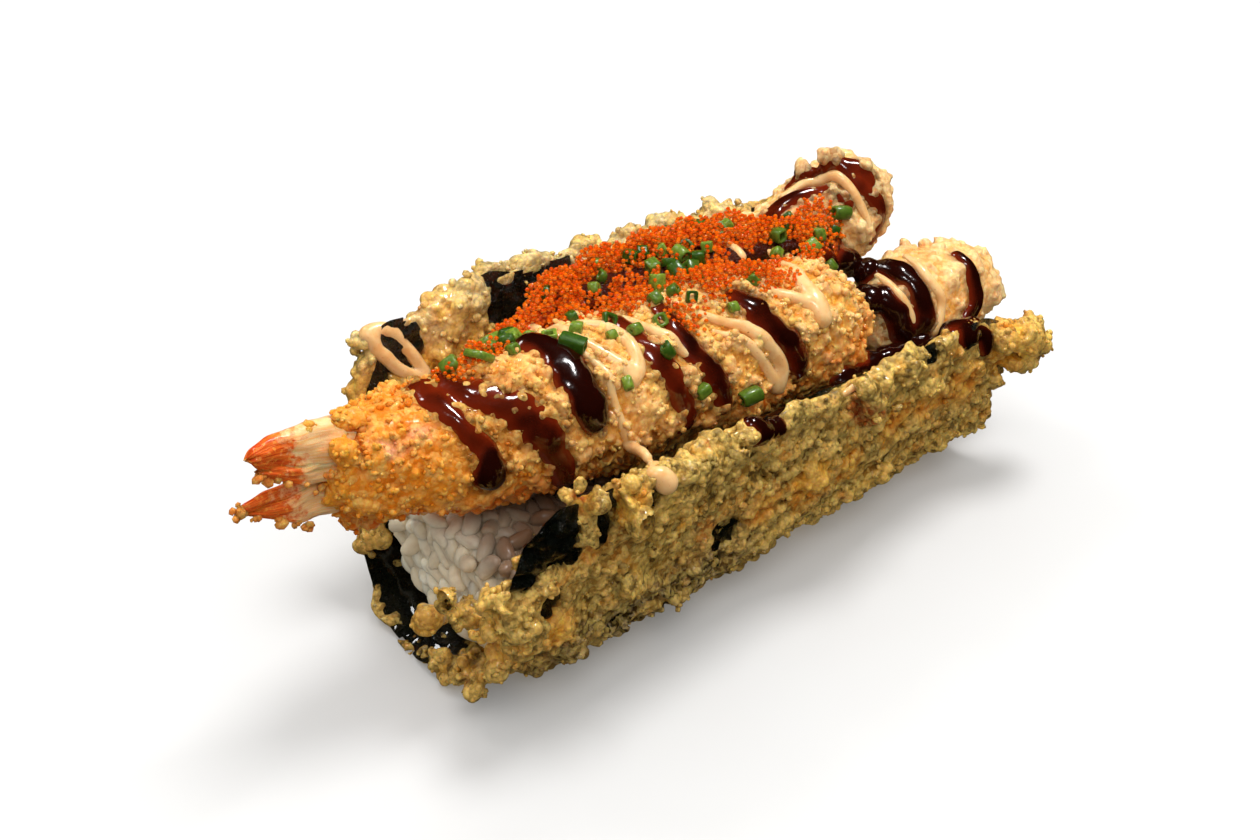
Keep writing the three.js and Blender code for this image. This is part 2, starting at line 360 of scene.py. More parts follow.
class Shader:
    """A node material built from the surface back: each method adds a node and returns its output."""

    def __init__(self, name):
        self.material = bpy.data.materials.new(name)
        self.material.use_nodes = True
        self.tree = self.material.node_tree
        self.tree.nodes.clear()
        self.surface = self.tree.nodes.new("ShaderNodeBsdfPrincipled")
        output = self.tree.nodes.new("ShaderNodeOutputMaterial")
        self.tree.links.new(self.surface.outputs[0], output.inputs[0])
        self.place = self.add("ShaderNodeTexCoord").outputs["Object"]

    def add(self, kind, inputs=None, **settings):
        node = self.tree.nodes.new(kind)
        for key, value in settings.items():
            setattr(node, key, value)
        for key, value in (inputs or {}).items():
            self.put(node.inputs[key], value)
        return node

    def put(self, socket, value):
        if isinstance(value, bpy.types.NodeSocket):
            self.tree.links.new(value, socket)
        else:
            socket.default_value = value

    def set(self, **inputs):
        """Inputs of the surface, with _ for the spaces in their names."""
        for key, value in inputs.items():
            self.put(self.surface.inputs[key.replace("_", " ")], value)

    def value(self, name):
        """A vertex attribute."""
        return self.add("ShaderNodeAttribute", attribute_name=name).outputs["Fac"]

    def noise(self, size, detail=3.0, rough=0.55, twist=0.0):
        """Noise from 0 to 1, with features size millimetres across."""
        inputs = {
            "Vector": self.place, "Scale": 1 / (size * MM), "Detail": detail, "Roughness": rough,
            "Distortion": twist,
        }
        return self.add("ShaderNodeTexNoise", inputs).outputs["Fac"]

    def beads(self, size, jitter=1.0):
        """Round cells about size millimetres across: the distance from the middle of each, about 0 to 1,
        and a random value for each."""
        inputs = {"Vector": self.place, "Scale": 1 / (size * MM), "Randomness": jitter}
        cells = self.add("ShaderNodeTexVoronoi", inputs)
        shade = self.add("ShaderNodeSeparateColor", {0: cells.outputs["Color"]}).outputs[0]
        return cells.outputs["Distance"], shade

    def math(self, operation, a, b=0.0, clamp=False):
        return self.add("ShaderNodeMath", {0: a, 1: b}, operation=operation, use_clamp=clamp).outputs[0]

    def span(self, value, low, high, to_low=0.0, to_high=1.0):
        """Value taken smoothly from low..high to to_low..to_high."""
        inputs = {"Value": value, "From Min": low, "From Max": high, "To Min": to_low, "To Max": to_high}
        return self.add("ShaderNodeMapRange", inputs, interpolation_type="SMOOTHSTEP").outputs[0]

    def mix(self, share, a, b, blend="MIX"):
        node = self.add("ShaderNodeMix", data_type="RGBA", blend_type=blend)
        for socket, value in ((node.inputs[0], share), (node.inputs[6], a), (node.inputs[7], b)):
            self.put(socket, value)
        return node.outputs[2]

    def bump(self, height, depth, strength=1.0, below=None):
        """Relief of a depth in millimetres."""
        inputs = {"Height": height, "Distance": depth * MM, "Strength": strength}
        if below is not None:
            inputs["Normal"] = below
        return self.add("ShaderNodeBump", inputs).outputs[0]


# ---------------------------------------------------------------- the folded sheet

SHEET = {
    "keel": 3.2,  # height of the middle of the nori over the ground
    "flat": [6, 5],  # half width of the flat keel, front and back
    "radius": [19, 17.5],  # of the bend up to a wall
    "lean": 0.1,
    "near_rim": [44, 40.8, 40.2, 38.6, 37.5, 29],
    "far_rim": [51, 52, 50, 47, 44.5, 40],
    # x of an end at the keel, then at the near and the far rim, with how sharply each turns
    "front": (-65, (-56, 12), (-50, 1.6)),
    "back": (57, (69, 5), (66, 3)),
    "waves": 0.7,
}


def ripple(a, b, seed):
    return (
        0.45 * np.sin(1.9 * a + 2.3 * b + seed)
        + 0.33 * np.sin(4.1 * a - 3.3 * b + 2.1 * seed)
        + 0.22 * np.sin(7.3 * a + 6.1 * b + 3.7 * seed)
    )


def end_of_sheet(end, v, seed):
    keel, near, far = end
    rim, turn = (np.where(v < 0, n, f) for n, f in zip(near, far))
    return keel + (rim - keel) * np.abs(v) ** turn + ripple(4 * v, 0, seed)


def raw_sheet(u, v):
    """A point of the nori and the direction out of the fold there: u runs from the front edge at 0 to
    the back edge at 1, v from the near rim at -1 over the keel to the far rim at 1."""
    side = np.where(v < 0, -1.0, 1.0)
    flat, radius = along(SHEET["flat"], u), along(SHEET["radius"], u)
    bend = math.pi / 2 - SHEET["lean"]
    rim = np.where(v < 0, along(SHEET["near_rim"], u), along(SHEET["far_rim"], u)) + 1.3 * ripple(
        9 * u, side, 2
    )
    wall = (rim - SHEET["keel"] - radius * (1 - math.cos(bend))) / math.sin(bend)
    run = np.abs(v) * (flat + radius * bend + wall)
    angle = np.clip((run - flat) / radius, 0, bend)
    up = np.maximum(run - flat - radius * bend, 0)
    out = np.stack([0 * angle, side * np.sin(angle), -np.cos(angle)], -1)
    wave = SHEET["waves"] * ripple(5 * u, 2.5 * v, 1) * smoothstep(angle, 0.2, 1)
    front, back = end_of_sheet(SHEET["front"], v, 5), end_of_sheet(SHEET["back"], v, 8)
    across = np.minimum(run, flat) + radius * np.sin(angle) + up * math.cos(bend)
    height = SHEET["keel"] + radius * (1 - np.cos(angle)) + up * math.sin(bend)
    middle = np.stack([front + (back - front) * u, side * across, height], -1)
    curl = 2.2 * smoothstep(u, 0.035, 0) * smoothstep(np.abs(v - 0.14), 0.24, 0.1)
    return middle + (wave + curl)[..., None] * out, out


def sheet_place():
    """What takes the sheet's own x and y to the CAD nori sheet's place."""
    points, _ = raw_sheet(*np.meshgrid(np.linspace(0, 1, 80), np.linspace(-1, 1, 161), indexing="ij"))
    low, high = (np.array(corner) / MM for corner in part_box("nori_sheet"))
    shift = (low + high) / 2 - (points.min((0, 1)) + points.max((0, 1))) / 2
    return np.array([shift[0], shift[1], 0])


PLACE = sheet_place()


def sheet(u, v):
    points, out = raw_sheet(u, v)
    return points + PLACE, out


def grid_faces(rows, columns):
    """Quads over a grid of vertices numbered row by row."""
    first = np.arange((rows - 1) * columns).reshape(rows - 1, columns)[:, :-1].ravel()
    return np.stack([first, first + 1, first + columns + 1, first + columns], axis=1)


BATTER_EDGE = (0.012, 0.97)  # where the batter stops: u short of either end, and v at a rim


class Wrap:
    """How voxels lie to the nori sheet: the distance to it, which way they face it (1 outside the
    fold, -1 inside) and the nearest point of it."""

    def __init__(self, field, reach=6, inset=BATTER_EDGE):
        rows, columns = 120, 150
        lengthways = np.linspace(inset[0], 1 - inset[0], rows)
        across = np.linspace(-inset[1], inset[1], columns)
        u, v = np.meshgrid(lengthways, across, indexing="ij")
        points, out = sheet(u, v)
        points, out = points.reshape(-1, 3), out.reshape(-1, 3)
        faces = grid_faces(rows, columns)
        tree = BVHTree.FromPolygons(points.tolist(), faces.tolist())
        ratio = round(1 / field.step)
        size = tuple((n + ratio - 1) // ratio + 1 for n in field.size)
        near = np.zeros(size, np.float32)
        near[tuple(np.clip(np.round(points - field.low).astype(int), 0, np.array(size) - 1).T)] = 1
        for axis in range(3):
            near = box_blur(near, reach, axis)
        cells = np.argwhere(near > 1e-6)
        places = cells + field.low
        self.low = field.low
        self.d = np.full(size, FAR_AWAY, np.float32)
        self.facing = np.zeros(size, np.float32)
        self.near = np.zeros((3, *size), np.float32)
        for cell, place in zip(map(tuple, cells), places):
            hit, _, index, distance = tree.find_nearest(place, reach + 1)
            if hit is None:
                continue
            self.d[cell] = distance
            self.facing[cell] = (place - hit) @ out[faces[index][0]] / max(distance, 1e-3)
            self.near[(slice(None), *cell)] = hit
        self.ratio = ratio

    def on(self, field, values):
        """Coarse values taken to the field's own grid."""
        return finer(values, self.ratio, field.size)


# ---------------------------------------------------------------- the shell

# Places where the batter is missing and bare nori shows: x, y, z, half length and half width.
BARE_OUTSIDE = [
    (-49, -28, 39, 8, 6.5),
    (-54, -26, 36, 4, 6),
    (-44, -29, 34, 4, 3.5),
    (-57, 2, 4, 4, 4),
    (-47, -26, 25, 2.6, 2.4),
    (-36.5, -28, 40, 2.4, 6.5),
    (-27, -28, 37.5, 2.2, 2.8),
    (-7, -25.4, 19.8, 3.4, 3.8),
    (-6, -22.5, 13.5, 2.6, 1.8),
    (-37, -20.6, 10, 4, 1.8),
    (-28, -22.8, 13, 5, 1.8),
    (-17, -19, 8.5, 4, 1.6),
    (2.5, -27.6, 41, 3.4, 3.0),
    (-7, -27.6, 40, 2.0, 1.8),
    (17, -27.6, 41, 4, 1.6),
    (27, -28, 40.5, 4, 1.6),
    (33, -24.6, 17, 5, 1.6),
    (45, -26.5, 35, 2.4, 2.0),
    (58, -27, 36, 5.2, 4.2),
    (65, -27, 32, 2.4, 2.2),
    (70, -27, 28.5, 1.6, 1.6),
    (-57, 8, 4, 4, 6.4),
    (-56, 15, 6, 3.6, 4.4),
    (-57, -3, 4, 4, 3.4),
    (-53, -14, 5, 3, 3),
    (-37, 28.5, 51.5, 5, 2.6),
    (20, 29, 22, 5, 3.4),
    (-25, 28, 15, 6, 3),
    (48, 27, 30, 4, 4),
    (-2, 28, 34, 5, 2.6),
    (64, 20, 14, 4, 3),
]
BARE_INSIDE = [
    (-54, 0, 4, 8, 8),
    (-53, 11, 5, 9, 9),
    (-51, 20, 10, 8, 8),
    (-50, 23, 16, 5, 5),
    (-38.5, 27.5, 48.5, 6, 7),
    (-35.5, 27, 45, 3, 5),
    (-44, 26.5, 42, 4, 8),
    (-14, 27, 47, 5, 7),
    (-9, 27, 44, 7, 6),
    (-4, 27.5, 48, 5.5, 6.5),
    (3, 25, 51, 3, 1.8),
    (10, 25, 51, 3, 1.8),
    (54, 26, 42, 5, 4),
    (-46, -27, 42, 3.5, 4),
    (51, 22, 44, 6, 5),
    (-49, -24, 33, 4, 9),
    (-38, -26, 43, 3.5, 6),
    (20, -26, 36, 26, 5),
]


# The rounded lumps that end the near rim at its back: x, y, z, radius.
TAB_LUMPS = [
    (66, -27.5, 30.5, 2.4),
    (69, -28, 29.6, 2.8),
    (71.5, -28, 29.5, 3.0),
    (73.5, -27.5, 28, 3.2),
    (74.5, -27, 25.5, 2.8),
    (72.5, -27, 24, 2.6),
    (70, -26.5, 24, 2.2),
    (74, -27.5, 30, 2.2),
]


# Clusters of crumbs: x, y, z, radius. They bank up before the rice, stand on the near rim and hang
# from the wall's foot.
CLUSTERS = [
    (-57, -10.5, 12.5, 2.6),
    (-56.5, -15.5, 17, 2.8),
    (-55.5, -19.5, 21.5, 2.8),
    (-54.5, -23, 26, 2.6),
    (-57.5, -14, 11, 2.8),
    (-56.5, -18.5, 15, 2.8),
    (-55.5, -22, 20, 2.6),
    (-54.5, -25.5, 30, 2.4),
    (-58, -14, 4, 2.2),
    (-59, -11.5, 17, 2.6),
    (-57.5, -18, 22.5, 2.2),
    (-56, -22.5, 28.8, 1.8),
    (-55.5, -27.5, 31.5, 2.2),
    (-41, -29, 43.8, 2.8),
    (-43, -29, 41.5, 1.8),
    (-33, -30, 42.5, 3.0),
    (-31, -30.5, 38.5, 3.0),
    (23, -30, 38.5, 3.0),
    (26, -30.5, 35, 3.0),
    (29, -30, 32, 2.4),
    (-45.5, 27, 48, 2.4),
    (-26, 26, 49.5, 3.0),
    (-23.5, 25.5, 45, 3.0),
    (-28.5, 25, 41.5, 2.4),
    (-22, 26, 51, 3.0),
    (-10.5, 25, 47.5, 2.4),
    (-7, 25, 50, 2.0),
    (-18, -27.5, 9, 2.2),
    (-14, -27.5, 10, 1.6),
    (34, -26, 14, 1.8),
]
# Where the batter is fried golden: x, y, z and how far it reaches.
GOLDEN = [
    (-56, -12, 12, 10),
    (-54, -21, 18, 9),
    (-46, -27, 20, 8),
    (-38, -29, 32, 5),
    (-41, -29, 44, 4),
    (-32, -30, 41, 6),
    (2, -28, 21, 6),
    (13, -28, 22, 7),
    (24, -28, 21, 6),
    (36, -28, 24, 7),
    (47, -28, 23, 7),
    (57, -27, 24, 8),
    (68, -27, 27, 9),
    (-50, 24, 38, 12),
    (-30, 27, 44, 14),
]
# Where sauce has soaked into it: x, y, z and how far.
SOAKED = [
    (24, -28.5, 36, 5), (27, -28.5, 32.5, 5), (-41.5, -28, 45, 1.6), (-12, -28, 43, 2.2), (60, -28, 35, 3)
]
# Small clusters on the ridge of the bare front edge: place along it from -1 to 1, and radius.
RIDGE = [
    (-0.2, 2.4), (-0.14, 2.3), (-0.1, 2.0), (-0.05, 1.7), (-0.01, 1.5), (0.03, 1.4), (0.07, 1.4),
    (0.12, 1.3), (0.17, 1.2),
]
RIDGE += [(0.28, 1.4), (0.33, 2.0), (0.38, 2.2), (0.43, 2.2), (0.48, 2.0), (0.54, 1.7)]


def near_places(places, points):
    """How near each point lies to the nearest of the places (x, y, z, reach): 1 at its middle and 0
    beyond its reach."""
    share = np.zeros(len(points))
    for x, y, z, reach in places:
        away = np.linalg.norm(points - (x, y, z), axis=1) / reach
        share = np.maximum(share, 1 - away)
    return share


def bare(places, near):
    """How far inside the nearest bare place each point lies: above 0 inside, below 0 outside."""
    depth = np.full(near.shape[1:], -4, np.float32)
    for x, y, z, length, width in places:
        reach = np.sqrt(
            ((near[0] - x) / length) ** 2 + ((near[1] - y) ** 2 + (near[2] - z) ** 2) / width**2
        )
        depth = np.maximum(depth, (1 - reach) * min(length, width))
    return depth


def bare_shell(field, wrap, rng):
    """Batter on both faces of the nori, before its lumps and crumbs, as distances."""
    hidden = smoothstep(wrap.near[2], 27, 22) * smoothstep(np.abs(wrap.near[0] - 8), 50, 44)
    keel = smoothstep(wrap.near[2], 5, 3)
    outside = wrap.on(field, bare(BARE_OUTSIDE, wrap.near))
    inside = wrap.on(field, bare(BARE_INSIDE, wrap.near) + 4 * hidden)
    ragged = 0.8 * field.noise(2.4, rng)
    lumps = 0.8 * field.noise(8, rng) + 0.5 * field.noise(3.6, rng)
    x, y, z = wrap.near
    foot = smoothstep(z, 18, 13) * smoothstep(y, -8, -14)
    ridges = np.sin(1.5 * (z - 0.15 * x) + 1.2 * np.sin(0.25 * x)) * smoothstep(x, -14, 0) * smoothstep(
        z, 34, 26
    )
    front_foot = foot * smoothstep(x, -40, -48)
    thick = 2.1 + wrap.on(field, 1.2 * keel + 0.8 * foot - 2.6 * front_foot + 0.45 * ridges) + lumps
    thick = thick * smoothstep(outside + ragged, 0.7, -0.7) - 0.5 * smoothstep(outside + ragged, 0, 1)
    thin = (1.5 + 0.7 * lumps) * smoothstep(inside + ragged, 0.7, -0.7) - 0.5 * smoothstep(
        inside + ragged, 0, 1
    )
    out_share = wrap.on(field, smoothstep(wrap.facing, -0.35, 0.35))
    return wrap.on(field, wrap.d) - (thin + (thick - thin) * out_share)


def scattered(vertices, normals, wanted, count, rng):
    """Random vertices in proportion to the wanted weights, with their normals."""
    pick = rng.choice(len(vertices), count, replace=False, p=wanted / wanted.sum())
    return vertices[pick], normals[pick]


def crumbs(count, small, large, rng, flat=0.35):
    """Radii of count uneven crumbs: many small, few large."""
    size = small + (large - small) * rng.random(count) ** 2.5
    return size[:, None] * (1 + flat * rng.uniform(-1, 1, (count, 3)))


def battered(wrap, vertices):
    """How freely crumbs gather at each vertex: 0 at a bare place, 1 away from it."""
    coarse = Field(wrap.low, wrap.low, 1.0, wrap.facing)
    coarse.size = wrap.facing.shape
    outside = coarse.sample(vertices, wrap.facing) > 0
    depth = np.where(outside, bare(BARE_OUTSIDE, vertices.T), bare(BARE_INSIDE, vertices.T))
    return smoothstep(depth, -0.6, -1.8)


def add_clusters(field, places, blobs, rng):
    """Sticks a cluster of blobs round each place (x, y, z, radius), or where the crust is nearest."""
    for *place, radius in places:
        place = np.array([place], float)
        gap = field.sample(place)[0]
        if gap > 0.8 * radius:
            place = place - field.slope(place) * (gap - 0.3 * radius)
        centres = place + rng.normal(0, 0.5 * radius, (blobs, 3))
        radii = crumbs(blobs, 0.35 * radius, 0.85 * radius, rng)
        field.add_blobs(centres, radii, random_turns(blobs, rng), melt=0.3)


def shell_crust(field, wrap, rng):
    """The shell's whole batter crust: base, then soft lumps, then a skin of crisp crumbs."""
    field.d = bare_shell(field, wrap, rng)
    vertices, quads = surface_of(field)
    normals = normals_of(vertices, quads)
    free = battered(wrap, vertices) + 0.01
    height = vertices[:, 2]
    rim = smoothstep(np.abs(vertices[:, 1]), 20, 26) * smoothstep(height, 33, 40)
    front = smoothstep(vertices[:, 0], -36, -50)
    foot = smoothstep(height, 20, 14) * front
    lumps = 560
    at, out = scattered(vertices, normals, free * (0.2 + 1.3 * rim + 0.8 * front) * (1 - foot), lumps, rng)
    radii = crumbs(lumps, 1.2, 2.9, rng)
    field.add_blobs(
        at - out * (radii.mean(1, keepdims=True) * 0.45), radii, random_turns(lumps, rng), melt=0.8
    )
    for x, y, z, radius in TAB_LUMPS:
        field.add_blobs(
            np.array([[x, y, z]]), radius * (1 + 0.2 * rng.uniform(-1, 1, (1, 3))), random_turns(1, rng),
            0.8,
        )
    vertices, quads = surface_of(field)
    normals = normals_of(vertices, quads)
    grains = 12000
    free = battered(wrap, vertices) + 0.02
    rim = smoothstep(vertices[:, 2], 30, 40)
    at, out = scattered(vertices, normals, free * (0.6 + 0.8 * rim), grains, rng)
    radii = crumbs(grains, 0.5, 1.3, rng)
    field.add_blobs(
        at + out * rng.uniform(-0.45, 0.2, (grains, 1)), radii, random_turns(grains, rng), melt=0.15
    )
    add_clusters(field, CLUSTERS, 6, rng)
    places = np.where(wrap.facing > 0, bare(BARE_OUTSIDE, wrap.near), bare(BARE_INSIDE, wrap.near))
    field.d = np.maximum(field.d, np.minimum(wrap.on(field, places) + 0.9 * field.noise(1.8, rng) - 0.6, 2))
    ridge, out = sheet(np.full(len(RIDGE), BATTER_EDGE[0]), np.array([v for v, _ in RIDGE]))
    add_clusters(field, [(*place, radius) for place, (_, radius) in zip(ridge - 1.2 * out, RIDGE)], 5, rng)
    field.d = np.maximum(field.d, -field.axes()[2])


def crumb_shape():
    """A crumb of 20 facets."""
    return CORNERS, np.array(FACETS)


def loose_crumbs(name, slot, material, at, out, radii, values, rng):
    """Crisp crumbs stuck to a crust, each with the crust's values where it sits."""
    points, faces = crumb_shape()
    places = at + out * radii.mean(1, keepdims=True) * rng.uniform(-0.1, 0.5, (len(at), 1))
    vertices, faces, owner = copies(points, faces, places, random_turns(len(at), rng), radii)
    values = {key: column[owner] for key, column in values.items()}
    return finished(mesh_object(name, vertices, faces, material, values), slot)


def sprinkle(name, slot, material, vertices, normals, values, seen, count, sizes, rng):
    """Loose crumbs at random vertices of a crust, in proportion to how well each is seen."""
    pick = rng.choice(len(vertices), count, replace=False, p=seen / seen.sum())
    there = {key: column[pick] for key, column in values.items()}
    radii = crumbs(count, *sizes, rng)
    loose_crumbs(name, slot, material, vertices[pick], normals[pick], radii, there, rng)


def crust_values(field, vertices, wrap=None):
    """What the crust's colours depend on at each vertex."""
    rng = np.random.default_rng(77)
    values = {
        "rise": field.sample(vertices, field.blurred(2)),
        "swell": field.sample(vertices, field.blurred(5)),
        "patch": field.sample(vertices, field.noise(9, rng)),
        "fleck": field.sample(vertices, field.noise(2.2, rng)),
    }
    if wrap is not None:
        coarse = Field(field.low, field.low, 1.0, wrap.d)
        coarse.size = wrap.d.shape
        values["cover"] = coarse.sample(vertices, wrap.d)
        # inside: the inner face, painted paler in the batter's shader, partly for paler batter and partly
        # as painted light.
        values["inside"] = smoothstep(coarse.sample(vertices, wrap.facing), 0.2, -0.2)
        x, y, z = vertices.T
        near_foot = smoothstep(z, 21, 13) * smoothstep(y, -8, -14)
        values["strip"] = near_foot * smoothstep(x, 20, -15) * smoothstep(x, -50, -38)
        values["gold"] = smoothstep(near_places(GOLDEN, vertices) + 0.25 * values["patch"], 0.1, 0.6)
        values["soaked"] = smoothstep(near_places(SOAKED, vertices) + 0.15 * values["fleck"], 0.05, 0.4)
        values["rim"] = smoothstep(z, 33, 39) * smoothstep(y, -20, -25)
        # far: the top of the far rim, which the batter's shader paints paler as painted light.
        values["far"] = smoothstep(z, 42, 48) * smoothstep(y, 18, 23)
    return values


def make_shell(rice):
    field = Field((-60, -35, -2), (84, 35, 58), 0.5)
    wrap = Wrap(field)
    rng = np.random.default_rng(11)
    shell_crust(field, wrap, rng)
    vertices, quads = surface_of(field)
    normals = normals_of(vertices, quads)
    values = crust_values(field, vertices, wrap)
    material = shell_batter()
    centres = vertices[quads].mean(1)
    lining = values["inside"][quads[:, 0]] > 0.5
    under_rice = lining & (centres[:, 2] < 22) & (np.abs(centres[:, 0] - 7) < 47)
    shown = (rice.sample(centres) > -1.0) & ~under_rice
    near = centres[:, 1] < 0
    walls = (("near_wall_crust", near & shown, 0.84), ("far_wall_crust", ~near & shown, 0.66))
    for name, keep, share in walls:
        piece = thinned(kept_piece(name, vertices, quads, keep, values, material), share)
        finished(piece, "shell_batter", "shell_outer_batter", "shell_inner_batter")
    seen = (rice.sample(vertices) > 0.5) * smoothstep(vertices[:, 2], 1, 4)
    seen = seen * smoothstep(values["cover"], 0.8, 1.6) + 1e-9
    dots = (seen, 1800, (0.4, 0.95), rng)
    sprinkle("shell_crumbs", "shell_batter", material, vertices, normals, values, *dots)
    return field


def make_nori(field):
    """The nori sheet, crinkled where the batter leaves it bare."""
    rows, columns = 170, 190
    u, v = np.meshgrid(np.linspace(0, 1, rows), np.linspace(-1, 1, columns), indexing="ij")
    points, out = sheet(u, v)
    points, out = points.reshape(-1, 3), out.reshape(-1, 3)
    rng = np.random.default_rng(5)
    folds = np.abs(field.sample(points, field.noise(3.2, rng)))
    creases = np.abs(field.sample(points, field.noise(1.4, rng)))
    lift = 1.4 * (1 - 2.2 * folds) + 1.3 * (1 - 2.5 * creases)
    outer, inner = (smoothstep(bare(places, points.T), -1.5, 0.5) for places in (BARE_OUTSIDE, BARE_INSIDE))
    offset = 0.3 - 0.5 * inner * (1 - outer) + lift * (0.8 * outer - 0.3 * inner)
    length, half_girth = 135, 60  # roughly the sheet's, to turn u and v into distances from its edges
    edge = np.minimum(np.minimum(u, 1 - u) * length, (1 - np.abs(v)) * half_girth).ravel()
    middle = points + out * (offset * smoothstep(edge, -1, 3))[:, None]
    thickness = (0.25 * smoothstep(edge, -0.3, 0.8) + 0.05)[:, None]
    faces = grid_faces(rows, columns)
    vertices = np.vstack([middle + out * thickness, middle - out * thickness])
    inner = faces[:, ::-1] + len(middle)
    facing_out = unit(
        np.cross(middle[faces[:, 2]] - middle[faces[:, 0]], middle[faces[:, 3]] - middle[faces[:, 1]])
    )
    if (facing_out * out[faces[:, 0]]).sum() < 0:
        faces, inner = faces[:, ::-1], inner[:, ::-1]
    faces = np.vstack([faces, inner])
    centres = vertices[faces].mean(1)
    torn = 2.4 * np.tile(field.sample(middle, field.noise(2.4, rng)), 2)[faces].mean(1) - 0.4
    shown = (field.sample(centres) > -0.9) & (np.tile(edge, 2)[faces].mean(1) > torn)
    piece = kept_piece("nori", vertices, faces, shown, {}, nori_skin())
    return finished(piece, "nori", "nori_sheet")


def grained(s, tone, pale, deep, size=1.5, seams=1.0, relief=0.55):
    """Gives a crust's tone its fine crumb: beads of two sizes, darkened in the seams between them as
    painted shade, each a little paler or browner than the next. Sets the relief too."""
    large, large_shade = s.beads(size)
    small, small_shade = s.beads(0.55 * size)
    tone = s.mix(s.span(large_shade, 0.45, 1.0, 0, 0.55), tone, pale)
    tone = s.mix(s.span(small_shade, 0.5, 1.0, 0, 0.4), tone, pale)
    tone = s.mix(s.span(small_shade, 0.4, 0.0, 0, 0.4), tone, deep)
    # Painted shade: the seams between beads darkened toward the deep tone.
    tone = s.mix(s.span(large, 0.38, 0.75, 0, 0.6 * seams), tone, deep)
    tone = s.mix(s.span(small, 0.42, 0.75, 0, 0.4 * seams), tone, deep)
    domes = s.math("ADD", s.span(large, 0.0, 0.8, 0.6, 0), s.span(small, 0.0, 0.8, 0.4, 0))
    fine = s.noise(0.35, detail=4, rough=0.7)
    shape = s.bump(fine, 0.2, 0.8, below=s.bump(domes, relief, 0.9))
    s.set(Base_Color=tone, Normal=shape, Roughness=s.span(fine, 0.3, 0.7, 0.22, 0.5))
    return tone


def shell_batter():
    """Tempura batter over nori: olive and dark where thin, pale gold where thick, toasted in patches,
    with an oily shine. It carries painted light too: paler on bulges and tips, on the inner face (partly
    its paler batter) and on the far rim's top; and painted shade: darker in hollows and between beads."""
    s = Shader("shell_batter")
    rise, cover, patch, fleck, gold = (s.value(k) for k in ("rise", "cover", "patch", "fleck", "gold"))
    swell, inside, strip = s.value("swell"), s.value("inside"), s.value("strip")
    thick = s.span(s.math("ADD", cover, s.math("MULTIPLY", fleck, 0.8)), 1.8, 4.2)
    mottle = s.math("ADD", gold, s.math("MULTIPLY", s.math("SUBTRACT", s.noise(7, detail=3), 0.46), 3.0))
    olive = s.mix(thick, rgb(144, 106, 34), rgb(255, 206, 98))
    toasted = s.mix(thick, rgb(216, 124, 12), rgb(255, 184, 40))
    body = s.mix(s.span(mottle, 0.0, 0.8), olive, toasted)
    body = s.mix(s.span(patch, 0.2, 0.9, 0, 0.6), body, rgb(246, 152, 40))
    body = s.mix(s.span(fleck, 0.45, 0.95, 0, 0.55), body, rgb(206, 104, 16))
    # Painted light, partly paler batter: the inner face made paler, as if lit inside the fold.
    body = s.mix(s.math("MULTIPLY", inside, 0.6), body, rgb(255, 190, 72))
    # Painted light: bulges and tips made paler, as where light falls on them.
    body = s.mix(s.span(swell, 0.2, 1.0, 0, 0.4), body, rgb(254, 192, 92))
    body = s.mix(s.span(rise, 0.1, 0.4, 0, 0.4), body, rgb(255, 214, 124))
    body = s.mix(
        s.math("MULTIPLY", s.value("rim"), s.span(s.noise(4, detail=3), 0.42, 0.6, 0, 0.7)), body,
        rgb(104, 86, 34),
    )
    # Painted shade: hollows darkened, browner where the batter is golden.
    body = s.mix(s.span(rise, 0.0, -0.3, 0, 0.72), body, s.mix(gold, rgb(66, 44, 8), rgb(120, 64, 8)))
    specks = s.span(s.noise(2.2, detail=3), 0.53, 0.61)
    body = s.mix(
        s.math("MULTIPLY", specks, s.math("MULTIPLY", s.math("SUBTRACT", 1.0, gold), 0.7)), body,
        rgb(40, 34, 14),
    )
    speckled = s.mix(s.span(s.noise(1.8, detail=3), 0.5, 0.56, 1, 0), rgb(184, 158, 112), rgb(14, 12, 6))
    body = s.mix(
        s.math("MULTIPLY", strip, s.span(s.noise(6, detail=2), 0.42, 0.52, 0.4, 1.0)), body, speckled
    )
    body = s.mix(s.span(cover, 1.3, 0.5, 0, 0.85), body, rgb(30, 28, 12))
    body = s.mix(s.math("MULTIPLY", s.value("soaked"), 0.8), body, rgb(190, 72, 8))
    pale, deep = s.mix(gold, rgb(255, 218, 120), rgb(255, 204, 88)), s.mix(
        gold, rgb(92, 64, 14), rgb(160, 84, 8)
    )
    # Painted light: the top of the far rim made paler, where light falls on it.
    paler = s.math("MULTIPLY", s.value("far"), s.span(s.noise(9, detail=2), 0.4, 0.6, 0.2, 0.75))
    body = s.mix(paler, body, rgb(250, 228, 170))
    grained(s, body, pale, deep, size=1.3, seams=0.5, relief=0.3)
    s.set(Subsurface_Weight=0.4, Subsurface_Radius=(1.0, 0.5, 0.15), Subsurface_Scale=0.6 * MM)
    s.set(Coat_Weight=0.7, Coat_Roughness=0.1, Specular_IOR_Level=0.3)
    return s.material


def nori_skin():
    """Fried seaweed: black-green, wet with oil, with fine creases."""
    s = Shader("nori_skin")
    veins = s.noise(0.9, detail=6, rough=0.7, twist=0.8)
    body = s.mix(s.span(veins, 0.35, 0.75), rgb(4, 6, 4), rgb(18, 22, 10))
    body = s.mix(s.span(s.noise(2.5), 0.6, 0.8, 0, 0.6), body, rgb(38, 40, 18))
    s.set(
        Base_Color=body, Roughness=s.span(s.noise(0.6), 0.3, 0.7, 0.2, 0.5), Coat_Weight=0.9,
        Specular_IOR_Level=0.4,
    )
    s.set(
        Coat_Roughness=0.06, Normal=s.bump(veins, 0.9, 1.0, below=s.bump(s.noise(2.2, detail=2), 1.5, 1.0))
    )
    return s.material


# ---------------------------------------------------------------- the shrimps


